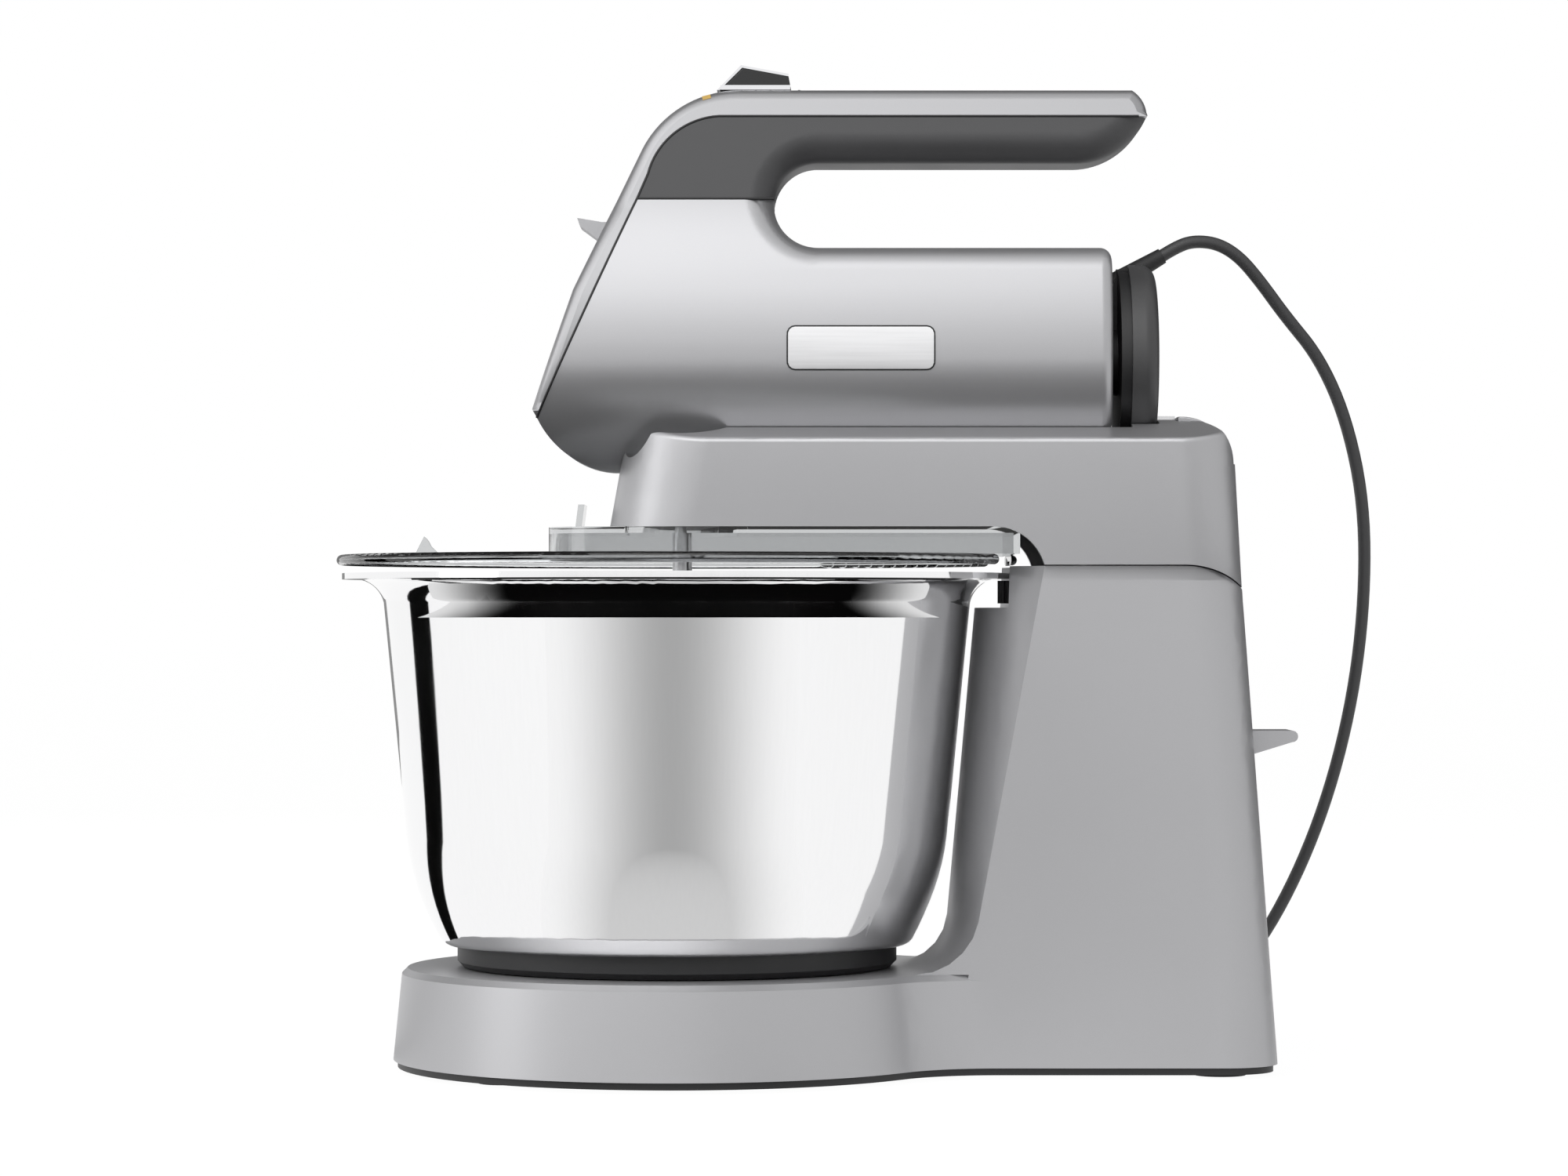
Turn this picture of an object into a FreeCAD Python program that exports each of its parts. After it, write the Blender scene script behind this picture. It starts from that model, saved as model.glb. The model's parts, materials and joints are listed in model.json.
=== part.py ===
import FreeCAD, Part
import math
import os

import Sketcher
from FreeCAD import Placement, Rotation, Vector

# Stand mixer: a hand mixer docked on a tilting stand with a turning steel bowl.
# Millimetres, +Z up, bowl towards -X, column and cord towards +X, origin under the middle of the box.

doc = FreeCAD.newDocument("stand_mixer")
sheet = doc.addObject("Spreadsheet::Sheet", "Sizes")
nodes = []


# A length together with the sheet expression that gives it
class Dim:
    def __init__(self, value, text):
        self.value = value
        self.text = text

    def __float__(self):
        return float(self.value)

    def __neg__(self):
        return Dim(-self.value, f"(-{self.text})")

    def __add__(self, other):
        return Dim(self.value + float(other), f"({self.text} + {words(other)})")

    def __radd__(self, other):
        return Dim(float(other) + self.value, f"({words(other)} + {self.text})")

    def __sub__(self, other):
        return Dim(self.value - float(other), f"({self.text} - {words(other)})")

    def __rsub__(self, other):
        return Dim(float(other) - self.value, f"({words(other)} - {self.text})")

    def __mul__(self, other):
        return Dim(self.value * float(other), f"({self.text} * {words(other)})")

    __rmul__ = __mul__

    def __truediv__(self, other):
        return Dim(self.value / float(other), f"({self.text} / {words(other)})")


def words(number):
    return number.text if isinstance(number, Dim) else repr(float(number))


def root(number):
    return Dim(math.sqrt(float(number)), f"sqrt({words(number)})")


def size(alias, value):
    row = size.row = getattr(size, "row", 0) + 1
    sheet.set(f"A{row}", alias)
    sheet.set(f"B{row}", str(value))
    sheet.setAlias(f"B{row}", alias)
    sheet.recompute()
    return Dim(float(sheet.get(alias)), f"Sizes.{alias}")


def bind(item, prop, number):
    item.setExpression(prop, words(number))


# Helpers that draw, pad, turn and join


def origin_plane(body, role):
    return next(f for f in body.Origin.OriginFeatures if f.Role == role)


def arc_centre(start, end, radius):
    chord = end - start
    side = 1 if radius > 0 else -1
    rise = math.sqrt(max(radius * radius - chord.Length ** 2 / 4, 0.0))
    normal = Vector(-chord.y, chord.x, 0).normalize()
    return (start + end) * 0.5 + normal * (side * rise)


# A closed sketch: (x, y) draws a line to that point, (x, y, radius) an arc, left turns positive
def outline(body, role, corners, offset=0):
    sketch = body.newObject("Sketcher::SketchObject", body.Name + "_outline")
    sketch.AttachmentSupport = [(origin_plane(body, role), "")]
    sketch.MapMode = "FlatFace"
    bind(sketch, "AttachmentOffset.Base.z", offset)
    spots = [Vector(float(c[0]), float(c[1]), 0) for c in corners]
    ends = []
    for i, corner in enumerate(corners):
        start, end = spots[i - 1], spots[i]
        if len(corner) == 2:
            sketch.addGeometry(Part.LineSegment(start, end), False)
            ends.append((1, 2))
            continue
        centre = arc_centre(start, end, float(corner[2]))
        first, last = (start, end) if float(corner[2]) > 0 else (end, start)
        turn = [math.atan2(p.y - centre.y, p.x - centre.x) for p in (first, last)]
        circle = Part.Circle(centre, Vector(0, 0, 1), abs(float(corner[2])))
        whole = 2 * math.pi if turn[1] < turn[0] else 0
        sketch.addGeometry(Part.ArcOfCircle(circle, turn[0], turn[1] + whole), False)
        ends.append((1, 2) if float(corner[2]) > 0 else (2, 1))
    for i, corner in enumerate(corners):
        following = (i + 1) % len(corners)
        sketch.addConstraint(Sketcher.Constraint("Coincident", i, ends[i][1], following, ends[following][0]))
    for i, corner in enumerate(corners):
        for axis, number in zip(("DistanceX", "DistanceY"), corner):
            index = sketch.addConstraint(Sketcher.Constraint(axis, -1, 1, i, ends[i][1], float(number)))
            bind(sketch, f"Constraints[{index}]", number)
        if len(corner) == 3:
            index = sketch.addConstraint(Sketcher.Constraint("Radius", i, abs(float(corner[2]))))
            bind(sketch, f"Constraints[{index}]", corner[2] if float(corner[2]) > 0 else -corner[2])
    return sketch


def pad(name, role, corners, length, offset=0, symmetric=False):
    body = doc.addObject("PartDesign::Body", name)
    sketch = outline(body, role, corners, offset)
    feature = body.newObject("PartDesign::Pad", name + "_pad")
    feature.Profile = sketch
    feature.SideType = "Symmetric" if symmetric else "One side"
    bind(feature, "Length", length)
    return body


def turned(name, corners, role="XZ_Plane", axis="V_Axis"):
    body = doc.addObject("PartDesign::Body", name)
    sketch = outline(body, role, corners)
    feature = body.newObject("PartDesign::Revolution", name + "_turn")
    feature.Profile = sketch
    feature.ReferenceAxis = (sketch, [axis])
    feature.Angle = 360
    return body


def lofted(name, sections):
    body = doc.addObject("PartDesign::Body", name)
    sketches = [outline(body, "XY_Plane", corners, height) for corners, height in sections]
    feature = body.newObject("PartDesign::AdditiveLoft", name + "_loft")
    feature.Profile = sketches[0]
    feature.Sections = sketches[1:]
    feature.Ruled = True
    return body


def place(item, x=0, y=0, z=0, turn=None):
    if turn is not None:
        item.Placement = Placement(Vector(), turn)
    for axis, number in zip("xyz", (x, y, z)):
        bind(item, f"Placement.Base.{axis}", number)
    return item


along = {"X": Rotation(Vector(0, 1, 0), 90), "Y": Rotation(Vector(1, 0, 0), -90), "Z": Rotation()}


def rod(name, radius, length, x, y, z, axis="Z"):
    item = doc.addObject("Part::Cylinder", name)
    bind(item, "Radius", radius)
    bind(item, "Height", length)
    return place(item, x, y, z, along[axis])


def cone(name, radius, end_radius, length, x, y, z, turn):
    item = doc.addObject("Part::Cone", name)
    bind(item, "Radius1", radius)
    bind(item, "Radius2", end_radius)
    bind(item, "Height", length)
    return place(item, x, y, z, turn)


def block(name, low, high):
    item = doc.addObject("Part::Box", name)
    for prop, a, b in zip(("Length", "Width", "Height"), low, high):
        bind(item, prop, b - a if isinstance(b, Dim) else words_gap(b, a))
    return place(item, *low)


def words_gap(high, low):
    return Dim(float(high) - float(low), f"({words(high)} - {words(low)})")


def fuse(name, *items):
    joined = doc.addObject("Part::MultiFuse", name)
    joined.Shapes = list(items)
    return joined


def common(name, *items):
    shared = doc.addObject("Part::MultiCommon", name)
    shared.Shapes = list(items)
    return shared


def cut(name, base, *tools):
    result = doc.addObject("Part::Cut", name)
    result.Base = base
    result.Tool = tools[0] if len(tools) == 1 else fuse(name + "_tools", *tools)
    return result


def rounded(name, base, radius, wanted):
    doc.recompute()
    item = doc.addObject("Part::Fillet", name)
    item.Base = base
    edges = [i for i, edge in enumerate(base.Shape.Edges, 1) if wanted(edge, edge.BoundBox)]
    item.Edges = [(i, float(radius), float(radius)) for i in edges]
    return item


def node(item, label):
    item.Label = label
    nodes.append(item)
    return item


def solid(label, shape):
    item = doc.addObject("Part::Feature", label + "_form")
    item.Shape = shape
    item.Placement = Placement()
    return node(item, label)


# Driving dimensions of the stand

bowl_x = size("bowl_axis_x", -48.8)
foot_height = size("foot_height", 1.5)
foot_radius = size("foot_radius", 9)
plate_thickness = size("plate_thickness", 2.5)
plate_inset = size("plate_inset", 1.5)
base_top = size("base_top_height", 36)
base_radius = size("base_radius", 99.4)
base_draft = size("base_draft", 3)
base_edge = size("base_top_edge", 2)
waist_radius = size("waist_radius", 40)
shell_wall = size("shell_wall", 3.2)
column_half = size("column_half_width", 45)
column_taper = size("column_side_taper", 2)
nose_low = size("column_nose_low_x", 41.5)
nose_high = size("column_nose_high_x", 56.9)
crease_low = size("column_crease_low_x", 46)
crease_high = size("column_crease_high_x", 78)
rear_low = size("column_rear_low_x", 159.5)
rear_high = size("column_rear_high_x", 146.8)
rear_corner = size("rear_corner_radius", 20)
sweep_radius = size("base_sweep_radius", 18)
hinge_x = size("hinge_x", 126)
hinge_z = size("hinge_height", 144)
hinge_round = size("hinge_round_radius", 32)
pin_radius = size("hinge_pin_radius", 3)
running_gap = size("running_gap", 0.05)
clear_gap = size("clear_gap", 0.4)
block_depth = size("column_head_block", 48)

shell_low = foot_height + plate_thickness
column_top = hinge_z + hinge_round


# Base and column


# Front disc of the base, with hollow waists that run into the column's sides
def keyhole(inset, radius, half, back):
    disc = radius - inset
    side = half - inset
    hollow = waist_radius + inset
    centre_x = bowl_x + root((disc + hollow) * (disc + hollow) - (side + hollow) * (side + hollow))
    share = disc / (disc + hollow)
    touch_x = bowl_x + share * (centre_x - bowl_x)
    touch_y = share * (side + hollow)
    return [
        (back, -side),
        (back, side),
        (centre_x, side),
        (touch_x, touch_y, -hollow),
        (bowl_x - disc, 0, disc),
        (touch_x, -touch_y, disc),
        (centre_x, -side, -hollow),
    ]


# Round nose towards the bowl, flat sides, round rear corners
def column_plan(inset, nose, crease, rear, half):
    side = half - inset
    front = crease + inset
    tip = nose + inset
    back = rear - inset
    corner = rear_corner - inset
    depth = front - tip
    bow = (side * side + depth * depth) / (2 * depth)
    return [
        (back, side - corner),
        (back - corner, side, corner),
        (front, side),
        (tip, 0, bow),
        (front, -side, bow),
        (back - corner, -side),
        (back, corner - side, corner),
    ]


def at_height(low, high, height):
    return low + (high - low) * ((height - shell_low) / (column_top - shell_low))


half_high = column_half - column_taper
base_back = (crease_high + rear_high) / 2
base_half_top = at_height(column_half, half_high, base_top)


column_edges = (
    (nose_low, nose_high),
    (crease_low, crease_high),
    (rear_low, rear_high),
    (column_half, half_high),
)


def column_between(name, inset, low, high):
    plans = []
    for height in (low, high):
        spots = [at_height(foot, top, height) for foot, top in column_edges]
        plans.append((column_plan(inset, *spots), height))
    return lofted(name, plans)


base = lofted("base_form", [
    (keyhole(0, base_radius, column_half, base_back), shell_low),
    (keyhole(0, base_radius - base_draft, base_half_top, base_back), base_top - base_edge),
    (keyhole(base_edge, base_radius - base_draft, base_half_top, base_back), base_top),
])
base_hollow = lofted("base_hollow", [
    (keyhole(shell_wall, base_radius, column_half, base_back), shell_low),
    (keyhole(shell_wall, base_radius - base_draft, base_half_top, base_back), base_top - shell_wall),
])
column = column_between("column_form", 0, shell_low, column_top)
column_hollow = column_between("column_hollow", shell_wall, shell_low, column_top - block_depth)

# Bowl and turntable

rim_radius = size("bowl_rim_radius", 117.3)
rim_height = size("bowl_rim_height", 173.7)
rim_thickness = size("bowl_rim_thickness", 2.1)
bowl_wall = size("bowl_wall", 1.2)
bowl_floor = size("bowl_floor_height", 44)
bowl_foot = size("bowl_foot_radius", 79)
bowl_heel = size("bowl_heel_radius", 83.3)
heel_rise = size("bowl_heel_rise", 2.5)
heel_round = size("bowl_heel_round", 5)
bowl_low_radius = size("bowl_low_radius", 94.8)
bowl_low_height = size("bowl_low_height", 82)
bowl_bend = size("bowl_bend_radius", 90)
neck_radius = size("bowl_neck_radius", 102.8)
neck_height = size("bowl_neck_height", 163.6)
flare_radius = size("bowl_flare_radius", 10.5)
flare_end = size("bowl_flare_end_radius", 112)
turntable_radius = size("turntable_radius", 77)
turntable_lip = size("turntable_lip", 2)
pivot_radius = size("turntable_pin_radius", 6)
pivot_depth = size("turntable_pin_depth", 14)

rim_low = rim_height - rim_thickness
bowl = turned("bowl_form", [
    (0, bowl_floor + bowl_wall),
    (0, bowl_floor),
    (bowl_foot, bowl_floor),
    (bowl_heel, bowl_floor + heel_rise, heel_round),
    (bowl_low_radius, bowl_low_height, bowl_bend),
    (neck_radius, neck_height),
    (flare_end, rim_low, -flare_radius),
    (rim_radius, rim_low),
    (rim_radius, rim_height),
    (flare_end - bowl_wall, rim_height),
    (neck_radius - bowl_wall, neck_height + bowl_wall, flare_radius + bowl_wall),
    (bowl_low_radius - bowl_wall, bowl_low_height),
    (bowl_heel - bowl_wall, bowl_floor + heel_rise + bowl_wall / 2, bowl_wall - bowl_bend),
    (bowl_foot, bowl_floor + bowl_wall, bowl_wall - heel_round),
])
node(place(bowl, bowl_x), "bowl")

table_low = base_top + clear_gap
table = turned("turntable_form", [
    (pivot_radius + running_gap, table_low),
    (turntable_radius - turntable_lip, table_low),
    (turntable_radius, table_low + turntable_lip),
    (turntable_radius, bowl_floor),
    (pivot_radius + running_gap, bowl_floor),
])
node(place(table, bowl_x), "turntable")
pivot_low = base_top - pivot_depth
pivot_length = bowl_floor - clear_gap - pivot_low
node(rod("turntable_pin_form", pivot_radius, pivot_length, bowl_x, 0, pivot_low), "turntable_pin")
pivot_boss = rod("pivot_boss", pivot_radius * 2, base_top - shell_wall / 2 - pivot_low, bowl_x, 0, pivot_low)
pivot_hole = rod("pivot_hole", pivot_radius, bowl_floor, bowl_x, 0, pivot_low)

# Roller under the bowl's rim, in a pocket at the top of the column

roller_radius = size("roller_radius", 6)
roller_height = size("roller_height", 8)
roller_pin = size("roller_pin_radius", 1.5)
roller_ribs = 14
rib_radius = size("roller_rib_radius", 0.8)
pocket_gap = size("roller_pocket_gap", 1.6)
rim_gap = size("rim_side_gap", 2.2)
rim_under = size("rim_pocket_depth", 12)

roller_x = bowl_x + flare_end + clear_gap + roller_radius
roller_low = rim_low - clear_gap - roller_height
roller_core = rod("roller_core", roller_radius - rib_radius, roller_height, roller_x, 0, roller_low)
ribs = []
for i in range(roller_ribs):
    angle = 2 * math.pi * (i + 0.5) / roller_ribs
    reach = roller_radius - rib_radius
    ribs.append(rod(f"roller_rib_{i}", rib_radius, roller_height, roller_x + reach * math.cos(angle),
                    reach * math.sin(angle), roller_low))
roller_bore = rod("roller_bore", roller_pin + running_gap, roller_height, roller_x, 0, roller_low)
node(cut("roller_form", fuse("roller_ribbed", roller_core, *ribs), roller_bore), "bowl_roller")
pin_low = roller_low - clear_gap - roller_height
node(rod("roller_pin_form", roller_pin, roller_height * 2 + clear_gap, roller_x, 0, pin_low), "roller_pin")
pocket_low = roller_low - clear_gap
roller_pocket = rod("roller_pocket", roller_radius + pocket_gap, column_top, roller_x, 0, pocket_low)
rim_pocket = rod("rim_pocket", rim_radius + rim_gap, column_top, bowl_x, 0, rim_height - rim_under)
roller_pin_hole = rod("roller_pin_hole", roller_pin, column_top, roller_x, 0, pin_low)

# Hinge between column and head

lug_thickness = size("lug_thickness", 8)
lug_spread = size("lug_spread", 22)
lug_boss = size("lug_boss_radius", 8)
lug_lean = size("lug_lean", 12)
bush_wall = size("bush_wall", 1.5)
head_low = column_top + clear_gap
pin_half = column_half - column_taper - shell_wall
hinge_bore = rod("hinge_bore", pin_radius, pin_half * 2, hinge_x, -pin_half, hinge_z, "Y")
node(rod("hinge_pin_form", pin_radius, pin_half * 2, hinge_x, -pin_half, hinge_z, "Y"), "hinge_pin")
lug_slots = []
for name, side in (("left", -1), ("right", 1)):
    slot_low = lug_spread * side - lug_thickness / 2 - clear_gap
    slot_high = lug_spread * side + lug_thickness / 2 + clear_gap
    lug_slots.append(block(f"lug_slot_{name}", (hinge_x - lug_lean - lug_boss - pocket_gap, slot_low,
                                                hinge_z - lug_boss - pocket_gap),
                           (hinge_x + lug_boss + lug_lean, slot_high, column_top + hinge_round)))

behind_hinge = block("behind_hinge", (hinge_x, -base_radius, hinge_z),
                     (rear_low, base_radius, column_top + hinge_round))
hinge_drum = rod("hinge_drum", hinge_round, base_radius * 2, hinge_x, -base_radius, hinge_z, "Y")
behind_drum = cut("behind_drum", behind_hinge, hinge_drum)

# Lever at the back of the column that frees the head

lever_z = size("lever_height", 114.5)
lever_tip = size("lever_tip_x", 168)
lever_pivot = size("lever_pivot_x", 139)
lever_half = size("lever_half_width", 12.5)
lever_deep = size("lever_root_depth", 8.6)
lever_thin = size("lever_tip_depth", 4)
lever_pin = size("lever_pin_radius", 2)
lever_room = size("lever_slot_room", 9)
lever_bend = size("lever_bend_x", 151.04)
lever_back = lever_pivot - lever_deep / 2
lever_low = lever_z - lever_deep / 2
lever_high = lever_z + lever_deep / 2
lever_form = pad("lever_form", "XZ_Plane", [
    (lever_back, lever_low),
    (lever_bend, lever_low),
    (lever_tip - lever_thin / 2, lever_high - lever_thin),
    (lever_tip, lever_high - lever_thin / 2, lever_thin / 2),
    (lever_tip - lever_thin / 2, lever_high, lever_thin / 2),
    (lever_back, lever_high),
], lever_half * 2, symmetric=True)
lever_bore = rod("lever_bore", lever_pin + running_gap, lever_half * 2,
                 lever_pivot, -lever_half, lever_z, "Y")
node(cut("lever_drilled", lever_form, lever_bore), "tilt_lever")
slot_half = lever_half + clear_gap
lever_slot = block("lever_slot", (lever_back - clear_gap * 3, -slot_half, lever_low - lever_room),
                   (rear_low, slot_half, lever_high + clear_gap * 4))
lever_seat = lever_half + shell_wall
box_half = lever_seat + shell_wall
box_back = at_height(rear_low, rear_high, lever_z) - shell_wall / 2
lever_box = block("lever_box", (lever_back - shell_wall, -box_half, lever_z - lever_deep - lever_room),
                  (box_back, box_half, lever_high + lever_room))
lever_pin_hole = rod("lever_pin_hole", lever_pin, lever_seat * 2, lever_pivot, -lever_seat, lever_z, "Y")
node(rod("lever_pin_form", lever_pin, lever_seat * 2, lever_pivot, -lever_seat, lever_z, "Y"), "lever_pin")

# Hollow sweep from the base's top up into the column's front

sweep_steps = 5
sweep_plans = []
for i in range(sweep_steps + 1):
    turn = math.pi / 2 * i / sweep_steps
    height = base_top + sweep_radius * (1 - math.cos(turn))
    reach = sweep_radius * (1 - math.sin(turn))
    nose, crease, rear, half = [at_height(foot, top, height) for foot, top in column_edges]
    sweep_plans.append((column_plan(0, nose - reach, crease - reach, rear - rear_corner, half), height))
sweep = lofted("sweep_form", sweep_plans)

stand_skin = fuse("stand_skin", base, column, sweep)
stand_open = cut("stand_open", stand_skin, base_hollow, column_hollow)
stand_boxed = fuse("stand_boxed", stand_open, pivot_boss, lever_box)
stand = cut("stand_cut", stand_boxed, pivot_hole, roller_pocket, rim_pocket, roller_pin_hole, hinge_bore,
            behind_drum, lever_slot, lever_pin_hole, *lug_slots)
node(stand, "stand_shell")

plate = lofted("plate_form", [
    (keyhole(plate_inset, base_radius, column_half, base_back), foot_height),
    (keyhole(plate_inset, base_radius, column_half, base_back), shell_low),
])
rear_plate = lofted("rear_plate_form", [
    (column_plan(plate_inset, nose_low, crease_low, rear_low, column_half), foot_height),
    (column_plan(plate_inset, nose_low, crease_low, rear_low, column_half), shell_low),
])
node(fuse("plate_joined", plate, rear_plate), "base_plate")
foot_front = size("foot_front_x", -106.3)
foot_front_half = size("foot_front_half_spread", 55.1)
foot_middle = size("foot_middle_x", -4.9)
foot_middle_half = size("foot_middle_half_spread", 59.9)
foot_rows = [
    (foot_front, foot_front_half),
    (foot_middle, foot_middle_half),
    (rear_low - rear_corner, column_half - rear_corner),
]
foot_spots = [(x, half * side) for x, half in foot_rows for side in (1, -1)]
feet = [rod(f"foot_{i}", foot_radius, foot_height, x, y, 0) for i, (x, y) in enumerate(foot_spots)]
node(fuse("feet_form", *feet), "rubber_feet")

# Driving dimensions of the hand mixer that the head is shaped around

barrel_z = size("barrel_axis_height", 247.6)
barrel_radius = size("barrel_radius", 38.7)
barrel_rear = size("barrel_rear_x", 102)
spool_gap = size("spool_gap", 7)
flange_radius = size("flange_radius", 33.5)
flange_thickness = size("flange_thickness", 9.4)
spool_z = size("spool_axis_height", 248.5)
beater_x = size("beater_x", -47)
beater_spread = size("beater_spread", 20)
beater_radius = size("beater_radius", 18)
beater_gap = size("beater_opening_gap", 1.5)
seat_gap = size("mixer_seat_gap", 0.4)

flange_x = barrel_rear + spool_gap
flange_end = flange_x + flange_thickness

# Tilting head

head_front = size("head_front_low_x", -80)
head_rake = size("head_front_rake", 15)
head_rear_lean = size("head_rear_lean", 3)
head_half = size("head_half_width", 47)
head_taper = size("head_side_taper", 2)
head_corner = size("head_front_corner", 30)
head_edge = size("head_edge_height", 219)
head_crown = size("head_crown_height", 227.7)
head_loft_top = head_crown + seat_gap
head_wall = size("head_wall", 3.5)
arch_height = size("guard_arch_height", 189.5)
arch_end = size("guard_arch_end_x", 78.5)
arch_round = size("guard_arch_round", 18)
cradle_floor = size("cradle_floor_thickness", 7)


def head_plan(front, rear, half):
    return [
        (rear, half - rear_corner),
        (rear - rear_corner, half, rear_corner),
        (front + head_corner, half),
        (front, half - head_corner, head_corner),
        (front, head_corner - half),
        (front + head_corner, -half, head_corner),
        (rear - rear_corner, -half),
        (rear, rear_corner - half, rear_corner),
    ]


head_bottom = hinge_z
head_block = lofted("head_block", [
    (head_plan(head_front, rear_high + head_rear_lean / 2, head_half), head_bottom),
    (head_plan(head_front + head_rake, rear_high - head_rear_lean, head_half - head_taper), head_loft_top),
])
crown_drop = head_crown - head_edge
crown_bow = (head_half * head_half + crown_drop * crown_drop) / (2 * crown_drop)
crown = pad("crown_form", "YZ_Plane", [
    (-head_half, head_bottom),
    (head_half, head_bottom),
    (head_half, head_edge),
    (0, head_crown, crown_bow),
    (-head_half, head_edge, crown_bow),
], rear_low - head_front, offset=head_front)
head_plain = common("head_plain", head_block, crown)
crease_round = size("head_crease_round", 2)
head_skin = rounded("head_skin", head_plain, crease_round, lambda edge, box: (
    box.ZMin > float(head_edge) - 5 and abs(box.Center.y) > float(head_half) / 2 and box.XLength > 5))

under_head = block("under_head", (head_front, -head_half, head_bottom), (hinge_x, head_half, head_low))
drum_room = rod("drum_room", hinge_round + clear_gap, head_half * 2, hinge_x, -head_half, hinge_z, "Y")
under_rear = block("under_rear", (hinge_x, -head_half, head_bottom),
                   (rear_low, head_half, column_top - lug_boss))
guard_arch = pad("guard_arch", "XZ_Plane", [
    (head_front, head_bottom),
    (arch_end, head_bottom),
    (arch_end, arch_height - arch_round),
    (arch_end - arch_round, arch_height, arch_round),
    (head_front, arch_height),
], head_half * 2, symmetric=True)
barrel_room = rod("barrel_room", barrel_radius + seat_gap, flange_x - head_front * 2,
                  head_front * 2, 0, barrel_z, "X")
flange_room = rod("flange_room", flange_radius + seat_gap, flange_end + seat_gap - barrel_rear,
                  barrel_rear, 0, spool_z, "X")
head_room_top = barrel_z - barrel_radius - cradle_floor
opening_radius = beater_radius + beater_gap
room_front = beater_x + opening_radius + head_wall
room_half = head_half - head_taper - head_wall
room_end = hinge_x - lug_lean * 2 - lug_boss
head_room = block("head_room", (room_front, -room_half, head_bottom), (room_end, room_half, head_room_top))


def beater_opening(name, low, high):
    middle = block(name + "_middle", (beater_x - opening_radius, -beater_spread, low),
                   (beater_x + opening_radius, beater_spread, high))
    ends = [rod(f"{name}_end_{i}", opening_radius, high - low, beater_x, beater_spread * side, low)
            for i, side in enumerate((-1, 1))]
    return fuse(name, middle, *ends)


button_front = size("button_front_x", 125.6)
button_half = size("button_half_width", 15.5)
button_low = size("button_low_height", 208)
button_proud = size("button_proud", 0.5)
button_travel = size("button_travel", 3)
button_round = size("button_round", 17)
catch_half = size("catch_half_width", 5)
catch_top = size("catch_top_height", 228.8)
catch_depth = size("catch_depth", 4.2)
button_side = button_half + clear_gap
button_floor = button_low - button_travel - clear_gap * 2
button_room = block("button_room", (button_front - clear_gap, -button_side, button_floor),
                    (rear_low, button_side, head_crown * 2))
catch_front = flange_end + seat_gap * 2
catch_low = catch_top - catch_depth
catch_side = catch_half + clear_gap
catch_room = block("catch_room", (barrel_rear, -catch_side, catch_low - button_travel - clear_gap),
                   (button_front, catch_side, head_crown * 2))
corner_bend = button_round - button_proud
corner_x = rear_high - head_rear_lean - corner_bend
corner_z = head_crown - corner_bend
rear_round = pad("head_rear_round", "XZ_Plane", [
    (corner_x, head_crown),
    (corner_x + corner_bend, corner_z, -corner_bend),
    (rear_low, corner_z),
    (rear_low, head_crown * 2),
    (corner_x, head_crown * 2),
], head_half * 2, symmetric=True)
head_opening = beater_opening("head_opening", head_bottom, head_crown)
head_cut = cut("head_cut", head_skin, under_head, drum_room, under_rear, guard_arch, barrel_room,
               flange_room, head_room, head_opening, button_room, catch_room, rear_round)
node(head_cut, "head_shell")

button_back = rear_high - head_rear_lean + button_proud
button = pad("button_form", "XZ_Plane", [
    (button_front, button_low),
    (button_back, button_low),
    (button_back, head_crown + button_proud - button_round),
    (button_back - button_round, head_crown + button_proud, button_round),
    (button_front, head_crown + button_proud),
], button_half * 2, symmetric=True)
node(button, "release_button")
node(block("catch_form", (catch_front, -catch_half, catch_low), (button_front, catch_half, catch_top)),
     "mixer_catch")

# Underside cover of the head and its hinge lugs

cover_thickness = size("cover_thickness", 2)
cover_half = room_half - running_gap
node(block("cover_form", (room_front + running_gap, -cover_half, arch_height),
           (arch_end - arch_round, cover_half, arch_height + cover_thickness)), "head_cover")

lugs = []
bushes = []
for name, side in (("left", -1), ("right", 1)):
    lug_y = lug_spread * side
    foot_x = hinge_x - lug_lean
    arm = pad(f"lug_arm_{name}", "XZ_Plane", [
        (foot_x - lug_boss, head_low),
        (hinge_x - lug_boss, hinge_z),
        (hinge_x + lug_boss, hinge_z),
        (foot_x + lug_boss, head_low),
    ], lug_thickness, symmetric=True)
    place(arm, 0, lug_y)
    lug_face = lug_y - lug_thickness / 2
    boss, eye, ring, bore = [
        rod(f"{piece}_{name}", radius, lug_thickness, hinge_x, lug_face, hinge_z, "Y")
        for piece, radius in (
            ("lug_boss", lug_boss),
            ("lug_eye", pin_radius + bush_wall),
            ("bush_ring", pin_radius + bush_wall),
            ("bush_bore", pin_radius + running_gap),
        )
    ]
    lugs.append(cut(f"lug_{name}", fuse(f"lug_joined_{name}", arm, boss), eye))
    bushes.append(cut(f"bush_{name}", ring, bore))
node(fuse("lugs_form", *lugs), "hinge_lugs")
node(fuse("bushes_form", *bushes), "hinge_bushes")

# Clear splash guard

guard_radius = size("guard_radius", 119.2)
guard_top = size("guard_top_height", 180.1)
guard_rim = size("guard_rim_depth", 3.6)
guard_wall = size("guard_wall", 2.2)
shroud_front = size("shroud_front_x", -93)
shroud_corner = size("shroud_corner", 26)
tab_front = size("guard_tab_x", -84.4)
tab_half = size("guard_tab_half_width", 12)
tab_top = size("guard_tab_height", 197.7)
tab_lean = size("guard_tab_lean", 1.3)
fin_x = size("guard_fin_x", -141)
fin_length = size("guard_fin_length", 9)
fin_height = size("guard_fin_height", 6.6)
shroud_end = arch_end - arch_round / 2
shroud_half = head_half - head_taper


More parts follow.
